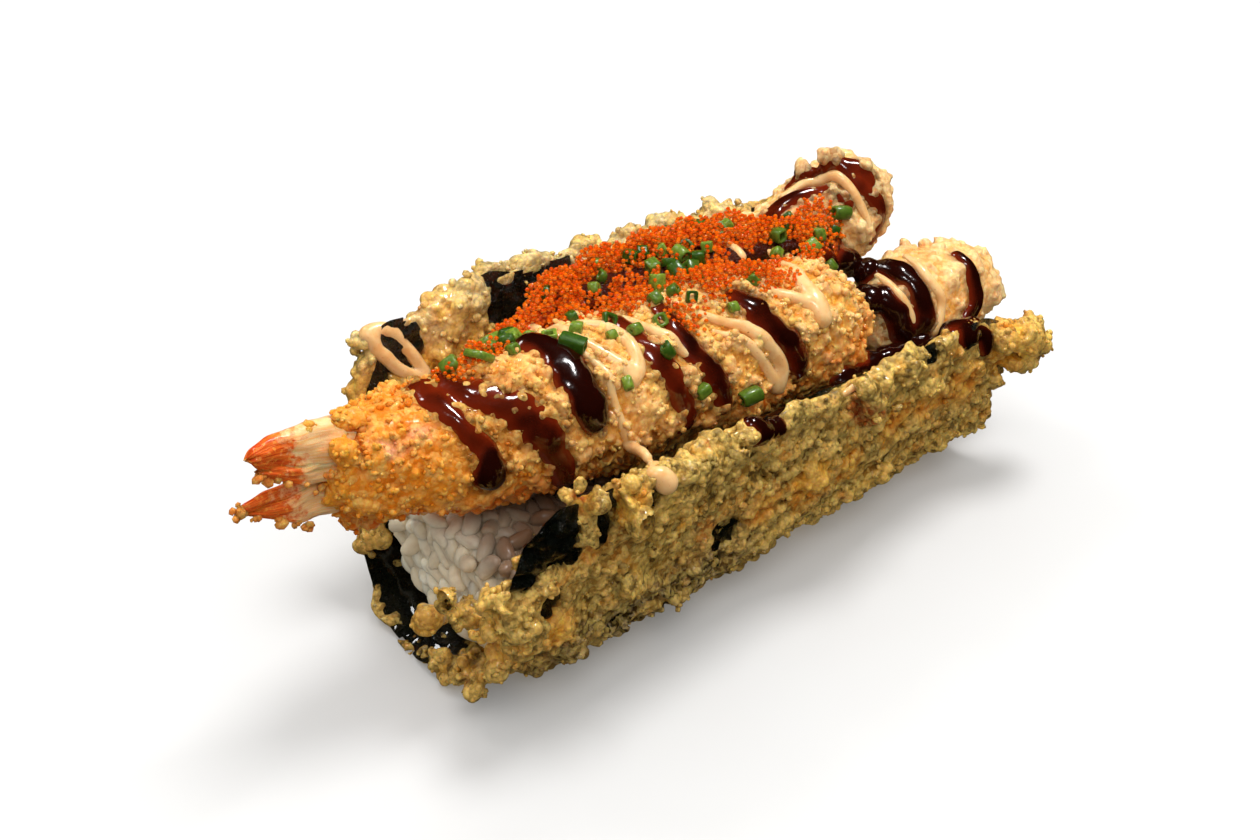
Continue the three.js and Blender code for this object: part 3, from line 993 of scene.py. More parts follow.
def node_field(name, step, margin=3.0):
    """The distances to a CAD node, with its facets rounded off."""
    low, high = (np.array(corner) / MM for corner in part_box(name))
    field = Field(low - margin, high + margin, step)
    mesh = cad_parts[name].data
    tree = BVHTree.FromPolygons([v.co / MM for v in mesh.vertices], [p.vertices[:] for p in mesh.polygons])
    ratio = round(1 / step)
    coarse = np.zeros([(n + ratio - 1) // ratio + 1 for n in field.size], np.float32)
    for cell in np.ndindex(*coarse.shape):
        coarse[cell] = tree.find_nearest(Vector(field.low + cell))[3]
    heights = field.low[2] + np.arange(coarse.shape[2])
    for i, j in np.ndindex(coarse.shape[:2]):
        coarse[i, j, crossings(tree, field.low[0] + i, field.low[1] + j, heights) % 2 == 1] *= -1
    field.d = finer(coarse, ratio, field.size)
    field.d = field.blurred(2)
    return field


def crossings(tree, x, y, heights):
    """How many times a line going up at x, y has met the surface below each height."""
    met = np.zeros(len(heights), int)
    z = heights[0] - 1
    while True:
        hit = tree.ray_cast(Vector((x + 0.0137, y + 0.0071, z)), Vector((0, 0, 1)))[0]
        if hit is None:
            return met
        met += heights > hit.z
        z = hit.z + 1e-3


def shrimp_crust(name, seed, swell, lumps, grains, grain_size, nuggets=()):
    """A battered shrimp: swell is the depth of its slow bulges, nuggets are crumbs at given places."""
    rng = np.random.default_rng(seed)
    field = node_field(name, 0.5, margin=5.0)
    field.d += 0.35 - swell * (0.6 * field.noise(7, rng) + 0.45 * field.noise(3.4, rng))
    vertices, quads = surface_of(field)
    normals = normals_of(vertices, quads)
    evenly = np.ones(len(vertices))
    at, out = scattered(vertices, normals, evenly, lumps, rng)
    radii = crumbs(lumps, 1.3, 2.8, rng)
    field.add_blobs(
        at - out * (radii.mean(1, keepdims=True) * 0.5), radii, random_turns(lumps, rng), melt=1.2
    )
    for x, y, z, radius in nuggets:
        centre = np.array([[x, y, z]]) + rng.normal(0, 0.3, (1, 3))
        field.add_blobs(
            centre, radius * (1 + 0.25 * rng.uniform(-1, 1, (1, 3))), random_turns(1, rng), melt=0.7
        )
    vertices, quads = surface_of(field)
    normals = normals_of(vertices, quads)
    at, out = scattered(vertices, normals, np.ones(len(vertices)), grains, rng)
    radii = crumbs(grains, *grain_size, rng) * (1 - 0.25 * smoothstep(at[:, :1], -44, -56))
    field.add_blobs(
        at + out * rng.uniform(-0.35, 0.15, (grains, 1)), radii, random_turns(grains, rng), melt=0.2
    )
    return field


TAIL_NUGGETS = [
    (-68.2, -2.2, 53, 2.2),
    (-67.6, -2.8, 49.5, 2.2),
    (-67.4, -3.0, 46, 2.4),
    (-72.4, 1.2, 57.6, 0.9),
    (-67.0, 1.0, 56.0, 1.6),
    (-64.5, 0.5, 56.0, 2.0),
    (-69.6, 3.0, 53, 2.0),
    (-69.0, -0.4, 44.8, 2.4),
    (-69.5, 0.4, 41.8, 1.8),
    (-67.6, 0.4, 39.4, 2.2),
    (-66.0, 0.8, 36.8, 2.0),
    (-63.4, 0.8, 34.6, 2.0),
]
BACK_NUGGETS = [
    (83, -2, 30.5, 2.0),
    (82, -5, 32, 1.8),
    (81, -9, 30.5, 2.0),
    (80, -12, 28, 1.9),
    (82.5, -6, 27, 2.0),
    (80.5, -1, 33.8, 1.9),
    (78, 1, 35, 1.8),
    (74.5, 2, 36.2, 1.7),
    (83.5, -8, 24.5, 1.6),
    (70.5, 3.5, 36.6, 1.5),
    (77, -6, 34.8, 1.6),
]
LUMP_NUGGETS = [
    (60, 14, 56.2, 1.8),
    (63, 9.5, 53.6, 2.0),
    (66, 8, 49, 2.2),
    (55, 18, 53.5, 1.6),
    (67, 11, 44, 2.0),
    (63, 16.5, 51, 2.0),
    (57, 14.5, 56, 1.5),
]


def make_shrimps():
    return {
        "front_shrimp": shrimp_crust("front_shrimp", 21, 1.0, 160, 4600, (0.45, 1.25), TAIL_NUGGETS),
        "back_shrimp": shrimp_crust("back_shrimp", 22, 1.0, 60, 900, (0.4, 0.9), BACK_NUGGETS),
        "far_shrimp": shrimp_crust("far_shrimp", 23, 1.0, 90, 2200, (0.45, 1.1), LUMP_NUGGETS),
    }


def flesh_shows(vertices, noise):
    """Where the crumb is so thin beside the tail that pink flesh shows through, from 0 to 1."""
    x, y, z = vertices.T
    away = np.sqrt(((x + 58.5) / 5.5) ** 2 + ((y + 4) / 5) ** 2 + ((z - 52) / 2.6) ** 2)
    return 0.9 * smoothstep(away + 0.4 * noise, 1.1, 0.5)


def show_shrimps(shrimps, crumb, eel, hidden_under, rng):
    looks = {"front_shrimp": crumb, "back_shrimp": smooth_batter(), "far_shrimp": smooth_batter()}
    for name, field in shrimps.items():
        vertices, quads = surface_of(field)
        values = crust_values(field, vertices)
        values["sauce"] = smoothstep(eel.sample(vertices) + 0.5 * values["fleck"], 1.5, 0.1)
        values["flesh"] = flesh_shows(vertices, values["fleck"])
        if name == "front_shrimp":
            # Painted shade and sauce: the front shrimp's low near side, shaded over the near rim, is
            # darkened through its sauce value.
            x, y, z = vertices.T
            level = z + 0.15 * (x + 30) - 0.25 * (y + 18) + 1.2 * values["fleck"]
            low = smoothstep(level, 43.5, 39.5) * smoothstep(y, -6, -12)
            values["sauce"] = np.maximum(values["sauce"], 1.15 * low * smoothstep(x, -36, -26))
        shown = hidden_under.distance(vertices[quads].mean(1)) > -1.0
        piece = kept_piece(name + "_crust", vertices, quads, shown, values, looks[name])
        finished(thinned(piece, 0.86), "shrimp_crust", name)
        if name != "front_shrimp":
            continue
        normals = normals_of(vertices, quads)
        seen = (hidden_under.distance(vertices) > 0.5) * (eel.sample(vertices) > 0.3)
        seen = seen * smoothstep(vertices[:, 2], 30, 44) + 1e-9
        dots = (seen, 2000, (0.35, 0.8), rng)
        sprinkle("shrimp_crumbs", "shrimp_crust", looks[name], vertices, normals, values, *dots)


def fried_look(name, pale, body, golden, deep):
    """Fried batter in four tones, before its fine crumb: paler on bulges and tips as painted light and
    darker in hollows as painted shade, stained where sauce has soaked in, and on the front shrimp's low
    near side also darkened as painted shade through the same sauce value.
    """
    s = Shader(name)
    rise, swell, patch, fleck, sauce = (s.value(k) for k in ("rise", "swell", "patch", "fleck", "sauce"))
    tone = s.mix(s.span(patch, -0.5, 0.7), body, golden)
    tone = s.mix(s.span(fleck, 0.1, 0.9, 0, 0.6), tone, golden)
    # Painted light: bulges and tips made paler.
    tone = s.mix(s.span(swell, 0.0, 0.8, 0, 0.4), tone, pale)
    tone = s.mix(s.span(rise, 0.03, 0.35, 0, 0.5), tone, pale)
    # Painted shade: hollows darkened toward the deep tone.
    tone = s.mix(s.span(rise, -0.02, -0.3, 0, 0.75), tone, deep)
    s.set(Subsurface_Weight=0.55, Subsurface_Radius=(1.0, 0.55, 0.25), Subsurface_Scale=0.8 * MM)
    s.set(Coat_Weight=0.2, Coat_Roughness=0.08, Specular_IOR_Level=0.22)
    # Darkened where sauce has soaked in; on the front shrimp's low near side this is painted shade as well.
    return s, s.mix(s.math("MULTIPLY", sauce, 0.85), tone, rgb(50, 16, 5))


def crisp_crumb():
    """The front shrimp's crumb: deep golden near the tail, browner low down (partly its own underside,
    partly painted shade), paler along the top.
    """
    s, tone = fried_look(
        "crisp_crumb", rgb(255, 218, 156), rgb(246, 184, 96), rgb(240, 156, 40), rgb(176, 90, 10)
    )
    x, _, z = s.add("ShaderNodeSeparateXYZ", {0: s.place}).outputs
    toward_tail = s.span(x, -22 * MM, -60 * MM, 0, 0.9)
    tone = s.mix(toward_tail, tone, s.mix(1.0, tone, rgb(255, 200, 56), blend="MULTIPLY"))
    # Browner low down: partly the crumb's own underside, partly painted shade under the shrimp.
    tone = s.mix(
        s.span(z, 44 * MM, 34 * MM, 0, 0.9), tone, s.mix(1.0, tone, rgb(232, 156, 50), blend="MULTIPLY")
    )
    tone = s.mix(s.value("flesh"), tone, rgb(255, 206, 176))
    grained(s, tone, rgb(255, 210, 116), rgb(198, 112, 20), seams=0.5, relief=0.35)
    return s.material


def smooth_batter():
    """The paler, smoother batter of the other two shrimps."""
    s, tone = fried_look(
        "smooth_batter", rgb(255, 222, 164), rgb(255, 202, 128), rgb(250, 176, 82), rgb(204, 116, 40)
    )
    grained(s, tone, rgb(255, 226, 164), rgb(200, 120, 46), seams=0.4, relief=0.25)
    return s.material


# ---------------------------------------------------------------- the tail

# Each fin's blades: upper and lower outline from root to tip as (x, z), half thickness, y, and the
# number of ribs.
UPPER_BLADES = [
    (
        [(-62, 54.0), (-68.8, 57.2), (-74.6, 58.0), (-79.4, 58.3), (-82.6, 58.0), (-84.2, 57.2)],
        [(-62, 46.0), (-69.9, 46.6), (-75.6, 48.6), (-79.7, 51.2), (-82.4, 53.8), (-84.0, 55.6)],
        (3.6, 3.4, 3.0, 2.5, 1.8, 1.1), 1.5, 9,
    ),
    (
        [(-62, 52.0), (-68, 52.0), (-73, 52.2), (-77.6, 53.2), (-80.2, 54.0), (-82.6, 54.6)],
        [(-62, 46.0), (-68.5, 46.2), (-73.6, 47.6), (-78.2, 50.0), (-80.8, 51.8), (-82.9, 53.4)],
        (2.4, 2.2, 1.8, 1.4, 1.0, 0.6), 0.2, 7,
    ),
]
LOWER_BLADES = [
    (
        [(-62, 46.5), (-70.2, 46.8), (-75.7, 48.3), (-80.6, 48.6), (-84.4, 48.6), (-86.9, 48.4)],
        [(-62, 41.5), (-70.6, 41.8), (-75.9, 43.6), (-80.9, 45.0), (-84.7, 46.4), (-86.7, 47.4)],
        (2.2, 1.8, 1.3, 1.0, 0.8, 0.5), 1.6, 5,
    ),
    (
        [(-62, 45.0), (-68.3, 44.6), (-73.0, 46.6), (-78.1, 46.2), (-82.5, 46.6), (-86.1, 48.0)],
        [(-62, 39.0), (-68.6, 39.4), (-72.0, 40.0), (-75.6, 40.4), (-80.4, 43.2), (-85.8, 46.6)],
        (2.4, 2.0, 1.5, 1.1, 0.9, 0.5), 1.1, 8,
    ),
]
# Crumbs stuck to the tail: x, y, z.
TAIL_CRUMBS = [
    (-82.3, 0.4, 53.2), (-80.3, 0, 51.5), (-78.2, -0.4, 50.2), (-75, -0.8, 48.8), (-86.2, 1, 47.1),
    (-84, 0.8, 45.4),
]
TAIL_CRUMBS += [
    (-79.6, 0.4, 42.9), (-75.1, 0, 40.1), (-72.5, -0.6, 46.4), (-86.6, 1.4, 48), (-77, 0.2, 41.2),
    (-71, -1.6, 49),
]


def blade(top, bottom, thick, y, ribs, seed):
    """One blade of the tail fan: a plump, ribbed leaf between its two outlines."""
    rows, columns = 60, 48
    t = np.linspace(0, 1, rows)
    edges = [spline([(x, 0, z) for x, z in line], 0.2) for line in (top, bottom)]
    high, low = (np.column_stack([np.interp(t, np.linspace(0, 1, len(e)), c) for c in e.T]) for e in edges)
    end = np.sqrt(1 - smoothstep(t, 0.9, 1.0) ** 2)[:, None]
    middle, half = (high + low) / 2, (high - low) / 2 * end
    turn = np.linspace(0, 2 * math.pi, columns, endpoint=False)
    across = np.cos(turn)
    rib = np.abs(np.sin(across * ribs + seed + 2 * np.sin(2.2 * t[:, None] + across)))
    depth = along(thick, t)[:, None] * end * np.abs(np.sin(turn)) ** 0.8 * (0.87 + 0.13 * rib)
    bow = 0.5 * ripple(3 * t, seed, 2)[:, None] + 0.25 * ripple(5 * t[:, None], 2 * across, seed)
    ragged = 0.8 * ripple(5 * across, seed, 3) * smoothstep(t, 0.85, 1)[:, None]
    points = middle[:, None] + half[:, None] * across[None, :, None]
    points[..., 0] -= ragged
    points[..., 1] += y + depth * np.sign(np.sin(turn)) + bow
    first = np.arange((rows - 1) * columns)
    after = first + 1 - columns * ((first + 1) % columns == 0)
    faces = np.stack([first, after, after + columns, first + columns], axis=1)
    lengths = t[:, None] + 0 * across
    return points.reshape(-1, 3), faces, lengths.ravel(), (0 * lengths + across).ravel()


def make_fin(name, node, blades, material):
    vertices, faces, lengths, acrosses, count = [], [], [], [], 0
    for seed, shape in enumerate(blades):
        points, quads, t, across = blade(*shape, seed + 1.5)
        vertices.append(points)
        faces.append(quads + count)
        lengths.append(t)
        acrosses.append(across)
        count += len(points)
    values = {"length": np.concatenate(lengths), "across": np.concatenate(acrosses)}
    piece = mesh_object(name, np.vstack(vertices), np.vstack(faces), material, values)
    return finished(piece, "shrimp_tail", node)


def make_tail(material, crumb, rng):
    make_fin("tail_upper", "tail_fin_upper", UPPER_BLADES, material)
    make_fin("tail_lower", "tail_fin_lower", LOWER_BLADES, material)
    at = np.repeat(np.array(TAIL_CRUMBS), 5, axis=0)
    at = at + rng.normal(0, 0.6, at.shape) * (1, 0.6, 0.35)
    plain = dict.fromkeys(("rise", "swell", "patch", "fleck", "sauce", "flesh"), np.full(len(at), 0.1))
    loose_crumbs(
        "tail_crumbs", "shrimp_crust", crumb, at, 0 * at, crumbs(len(at), 0.45, 1.1, rng), plain, rng
    )


def tail_shell():
    """Cooked tail: translucent pink with streaks along it, turning red at the tip."""
    s = Shader("tail_shell")
    length, across = s.value("length"), s.value("across")
    drawn_out = {0: s.math("MULTIPLY", length, 1.4), 1: s.math("MULTIPLY", across, 5.0)}
    run = s.add("ShaderNodeCombineXYZ", drawn_out).outputs[0]
    grain = {"Vector": run, "Scale": 2.6, "Detail": 6.0, "Roughness": 0.65}
    streaks = s.add("ShaderNodeTexNoise", grain).outputs["Fac"]
    blotch = s.noise(2.2, detail=5, rough=0.65)
    red = s.span(
        s.math("ADD", length, s.math("MULTIPLY", s.math("SUBTRACT", blotch, 0.5), 0.8)), 0.57, 0.72
    )
    pink = s.mix(s.span(streaks, 0.4, 0.65), rgb(255, 208, 152), rgb(255, 176, 96))
    pink = s.mix(s.span(blotch, 0.5, 0.7, 0, 0.6), pink, rgb(255, 196, 146))
    deep = s.mix(s.span(streaks, 0.35, 0.65), rgb(246, 124, 40), rgb(204, 68, 14))
    deep = s.mix(s.span(s.noise(0.8, detail=4), 0.54, 0.68, 0, 0.8), deep, rgb(246, 160, 70))
    s.set(
        Base_Color=s.mix(red, pink, deep), Roughness=0.3, Subsurface_Weight=0.6, Coat_Weight=0.3,
        Specular_IOR_Level=0.3,
    )
    s.set(Subsurface_Radius=(1.0, 0.35, 0.2), Subsurface_Scale=0.8 * MM, Coat_Roughness=0.1)
    s.set(Normal=s.bump(streaks, 0.25, 0.7, below=s.bump(s.noise(0.5), 0.12, 0.6)))
    return s.material


# ---------------------------------------------------------------- the rice


def grain_shape():
    """A cooked rice grain, one unit long: blunt at both ends, a little bent and flattened."""
    rows, columns = 9, 8
    t = (0.5 - 0.5 * np.cos(np.linspace(0, math.pi, rows)))[1:-1]
    turn = np.linspace(0, 2 * math.pi, columns, endpoint=False)
    t, turn = np.meshgrid(t, turn, indexing="ij")
    round_ = (1 - (2 * t - 1) ** 2) ** 0.42 * 0.5
    x = (t - 0.5) * 1.0
    ring = np.stack(
        [x, 0.56 * round_ * np.cos(turn) + 0.10 * (x * 2) ** 2, 0.5 * round_ * np.sin(turn)], -1
    )
    points = np.vstack([ring.reshape(-1, 3), [[-0.5, 0.1, 0], [0.5, 0.1, 0]]])
    faces = []
    for row in range(rows - 3):
        for k in range(columns):
            a, b = row * columns + k, row * columns + (k + 1) % columns
            faces += [(a, b, b + columns), (a, b + columns, a + columns)]
    last, first_pole, last_pole = (rows - 3) * columns, len(points) - 2, len(points) - 1
    for k in range(columns):
        after = (k + 1) % columns
        faces += [(first_pole, after, k), (last_pole, last + k, last + after)]
    return points, np.array(faces)


def copies(points, faces, places, turns, sizes):
    """Many turned and scaled copies of a shape as one mesh; also the number of each vertex's copy."""
    sized = points[None] * sizes[:, None, :]
    vertices = np.einsum("nij,nkj->nki", turns, sized) + places[:, None, :]
    all_faces = faces[None] + (np.arange(len(places)) * len(points))[:, None, None]
    owner = np.repeat(np.arange(len(places)), len(points))
    return vertices.reshape(-1, 3), all_faces.reshape(-1, faces.shape[1]), owner


def spaced(points, apart, most):
    """Indices of points, taken in order, that stay apart from those already taken."""
    taken = []
    kept = np.zeros((0, 3))
    for index, point in enumerate(points):
        if len(taken) == most:
            break
        if len(kept) and np.min(((kept - point) ** 2).sum(1)) < apart**2:
            continue
        taken.append(index)
        kept = np.vstack([kept, point])
    return np.array(taken)


def turns_along(directions, rng):
    """Matrices whose first column is the given direction, rolled at random."""
    a = unit(directions)
    b = unit(np.cross(a, rng.normal(size=a.shape)))
    return np.stack([a, b, np.cross(a, b)], axis=-1)


def make_rice(field):
    """Loose sticky grains all over a smaller core."""
    rng = np.random.default_rng(31)
    vertices, quads = surface_of(field)
    normals = normals_of(vertices, quads)
    open_side = smoothstep(normals[:, 2] + np.abs(normals[:, 0]), 0.1, 0.5)
    seen = smoothstep(vertices[:, 2], 3, 6) * open_side + 1e-4
    at, out = scattered(vertices, normals, seen, min(7000, (seen > 0.01).sum()), rng)
    at = at + rng.normal(0, 0.35, at.shape) - out * rng.uniform(0.4, 1.9, (len(at), 1))
    chosen = spaced(at, 2.7, 800)
    at, out = at[chosen], out[chosen]
    lie = unit(rng.normal(size=at.shape))
    lie = unit(lie - out * (lie * out).sum(1, keepdims=True) * rng.uniform(0.4, 1.0, (len(at), 1)))
    sizes = np.stack([rng.uniform(5.2, 6.3, len(at)), *(rng.uniform(5.5, 6.4, (2, len(at))))], -1)
    points, faces = grain_shape()
    vertices, faces, owner = copies(points, faces, at, turns_along(lie, rng), sizes)
    values = {"shade": rng.uniform(0, 1, len(at))[owner], "stain_and_shade": rice_stain_and_shade(vertices)}
    piece = mesh_object("rice_grains", vertices, faces, cooked_rice(), values)
    finished(piece, "rice", "sushi_rice")
    core = Field(field.low, field.low, 2.0, field.d[::2, ::2, ::2] + 0.8)
    vertices, quads = surface_of(core)
    # The core shows only between the grains: browning it at least a tenth is painted shade there.
    values = {"shade": np.zeros(len(vertices)), "stain_and_shade": np.maximum(rice_stain_and_shade(vertices), 0.1)}
    core = mesh_object("rice_core", vertices, quads, cooked_rice(), values)
    finished(core, "rice", "sushi_rice")


def rice_stain_and_shade(vertices):
    """How far the rice is browned, from 0 to 1: partly by the sauce that ran down inside the near wall,
    partly as painted shade under the shrimp and the wall.
    """
    return 0.92 * smoothstep(vertices[:, 2] - 0.45 * vertices[:, 1] + 0.3 * (vertices[:, 0] + 50), 28, 39)


def cooked_rice():
    """Milky, moist rice."""
    s = Shader("cooked_rice")
    tone = s.mix(s.span(s.value("shade"), 0, 1), rgb(238, 222, 192), rgb(250, 240, 216))
    tone = s.mix(s.span(s.noise(1.6), 0.45, 0.75, 0, 0.4), tone, rgb(206, 186, 156))
    # Browned toward the near wall's top: partly sauce, partly painted shade.
    tone = s.mix(s.value("stain_and_shade"), tone, rgb(96, 54, 20))
    s.set(Base_Color=tone, Roughness=0.28, Subsurface_Weight=0.45, Subsurface_Scale=1.6 * MM)
    s.set(Subsurface_Radius=(1.0, 0.85, 0.7), Specular_IOR_Level=0.4)
    s.set(Normal=s.bump(s.noise(0.7, detail=3), 0.08, 0.6))
    return s.material


# ---------------------------------------------------------------- what lies on top


class Ground:
    """Everything that the toppings rest on, its crumbs smoothed over."""

    def __init__(self, fields):
        self.fields = [Field(f.low, f.low, f.step, f.blurred(2)) for f in fields]
        for smooth, f in zip(self.fields, fields):
            smooth.size = f.size

    def distance(self, points):
        return np.min([f.sample(points) for f in self.fields], axis=0)

    def slope(self, points):
        e = np.eye(3) * 0.6
        return unit(np.stack([self.distance(points + v) - self.distance(points - v) for v in e], axis=-1))

    def settle(self, points, steps=5):
        """The points moved onto the surface."""
        for _ in range(steps):
            points = points - self.slope(points) * np.clip(self.distance(points), -2, 2)[:, None]
        return points


def pour(field, ground, runs, rng, merge=0.9, ragged=0.0):
    """Runs of sauce over the ground. Each is a list of (x, y, z, width, depth) and lies on what is
    below it, or hangs free where its depth is 0. Runs that meet melt together."""
    spans = [field.low[i] + field.step * np.arange(n) for i, n in enumerate(field.size)]
    for run in runs:
        line = spline(run, 0.45)
        free = line[:, 4] < 0.05
        laid = np.where(free[:, None], line[:, :3], ground.settle(line[:, :3]))
        laid = smoothed(laid, 2)
        width = line[:, 3] * (1 + 0.10 * ripple(np.arange(len(line)) * 0.16, 0, rng.uniform(0, 9)))
        depth = np.where(free, width / 2, np.maximum(line[:, 4], 0.14 * width))
        radius = (width**2 / 4 + depth**2) / (2 * depth)
        centres = laid + ground.slope(laid) * np.where(free, 0, depth - radius)[:, None]
        own = np.full(field.size, FAR_AWAY, np.float32)
        for centre, size in zip(centres, radius):
            a = np.maximum(np.ceil((centre - size - 1.5 - field.low) / field.step).astype(int), 0)
            b = np.minimum(
                np.floor((centre + size + 1.5 - field.low) / field.step).astype(int) + 1, field.size
            )
            if np.any(a >= b):
                continue
            x, y, z = (spans[i][a[i] : b[i]] - centre[i] for i in range(3))
            away = np.sqrt(x[:, None, None] ** 2 + y[None, :, None] ** 2 + z[None, None, :] ** 2) - size
            box = tuple(slice(p, q) for p, q in zip(a, b))
            own[box] = np.minimum(own[box], away)
        field.d = melted(field.d, own, merge)
    field.d += ragged * field.noise(1.9, rng)
    keep_above(field, ground)


def smoothed(line, times):
    for _ in range(times):
        line = np.vstack([line[:1], (line[:-2] + 2 * line[1:-1] + line[2:]) / 4, line[-1:]])
    return line


def keep_above(field, ground, sunk=0.7):
    """Takes away the part of a sauce that is deeper than sunk below the ground."""
    cells = np.argwhere(field.d < 1.0)
    places = field.low + field.step * cells
    below = -(ground.distance(places) + sunk)
    field.d[tuple(cells.T)] = np.maximum(field.d[tuple(cells.T)], below)


EEL = [
    [
        (-50, 3, 56, 3.5, 0.56), (-51, -2, 56, 4.6, 0.84), (-50, -8, 53, 3.6, 0.7),
        (-48, -12, 49, 4.2, 0.98), (-48, -13.5, 45, 6.4, 2.1),
    ],
    [
        (-46, 2, 57, 4, 0.56), (-46, -4, 56, 4.8, 0.7), (-42, -10, 53, 5.4, 0.77),
        (-38.5, -13.5, 50, 6, 1.05), (-36.5, -15.5, 46, 5.6, 1.05), (-35, -16, 41, 4.4, 0.84),
        (-34, -16, 37, 3.4, 0.7),
    ],
    [
        (-28, 0, 57, 6.0, 1.4), (-28, -5, 56, 7.4, 1.9), (-28, -11, 53, 7.4, 2.2),
        (-28, -14.5, 50, 7.0, 2.6), (-27.5, -15.5, 48, 5.8, 2.2),
    ],
    [
        (-11, -3, 56, 3.5, 0.63), (-12, -10, 54, 4.2, 0.84), (-11, -14, 51, 4.4, 0.91),
        (-10, -17, 46, 4.2, 0.91), (-8.5, -18, 41, 4.4, 0.84), (-9, -18, 37, 4, 0.7),
    ],
    [
        (-3, -5, 55, 3.5, 0.7), (-4, -12, 52, 4.6, 1.05), (-2.5, -16, 48, 5, 1.26),
        (-0.5, -17.5, 44, 4.6, 1.12), (0, -18, 40, 3.6, 0.84),
    ],
    [
        (12, -8, 53, 4.4, 0.9), (13, -12, 51, 5.2, 1.27), (15.5, -16, 47, 5.4, 1.42),
        (18, -18, 42, 4.6, 1.12), (19, -18, 38, 3.6, 0.9),
    ],
    [
        (41, 2, 46, 4, 1.0), (46, -3, 41, 5.4, 1.6), (50, -8, 38, 5.6, 1.9), (52, -12, 34, 5.2, 1.8),
        (52, -14, 30, 4.6, 1.4),
    ],
    [
        (52, 5, 41, 4.4, 1.2), (57, -2, 40, 5.4, 1.8), (58.5, -9, 39, 5.6, 2.0), (57.5, -14, 34, 5.0, 1.6),
        (54, -15, 29, 4.4, 1.2),
    ],
    [(73, -8, 38, 3.2, 1.0), (73, -12, 36, 4.2, 1.4), (72.5, -14.5, 31, 4.0, 1.4), (68, -15, 27, 3.6, 1.0)],
    [
        (54, -27, 38, 3.4, 1.0), (57.5, -28, 37, 5.4, 1.6), (60.5, -27.5, 33, 4.6, 1.7),
        (61.5, -27, 29.5, 3.2, 1.3),
    ],
    [(1.6, -28, 43.6, 4.2, 1.8), (2.4, -28.4, 43.2, 5.4, 2.6), (3, -28.8, 42.4, 4.0, 1.8)],
    [
        (38, 12, 49, 3.57, 0.68), (46, 16, 49, 3.57, 0.83), (51, 14.5, 51, 2.89, 0.68),
        (55, 12, 52, 2.55, 0.6), (56.5, 7, 49.5, 2.21, 0.52),
    ],
    [
        (52, 20, 50, 1.97, 0.45), (55, 18, 53, 2.46, 0.6), (59, 14.5, 55, 2.62, 0.6),
        (60, 9, 53, 2.95, 0.68), (62, 5, 49.5, 3.44, 0.9), (64, 4, 45, 2.79, 0.75), (62, 2, 41, 2.13, 0.6),
    ],
    [(59, 13, 57, 2.21, 0.6), (61.5, 10.5, 55.5, 2.89, 0.83), (63, 7, 52.5, 2.21, 0.6)],
    [
        (-24, -20.5, 33.5, 3.0, 0), (-16, -21, 33.5, 5.0, 0), (-4, -21.5, 33, 5.0, 0),
        (8, -21.5, 32.5, 5.0, 0), (20, -21, 32, 5.0, 0), (30, -21, 31, 4.6, 0),
    ],
    [
        (30, -18, 32, 6, 0), (38, -16, 29.5, 7, 0), (45, -17, 29, 7, 0), (53, -17, 27.5, 6, 0),
        (62, -17, 26, 5, 0),
    ],
]

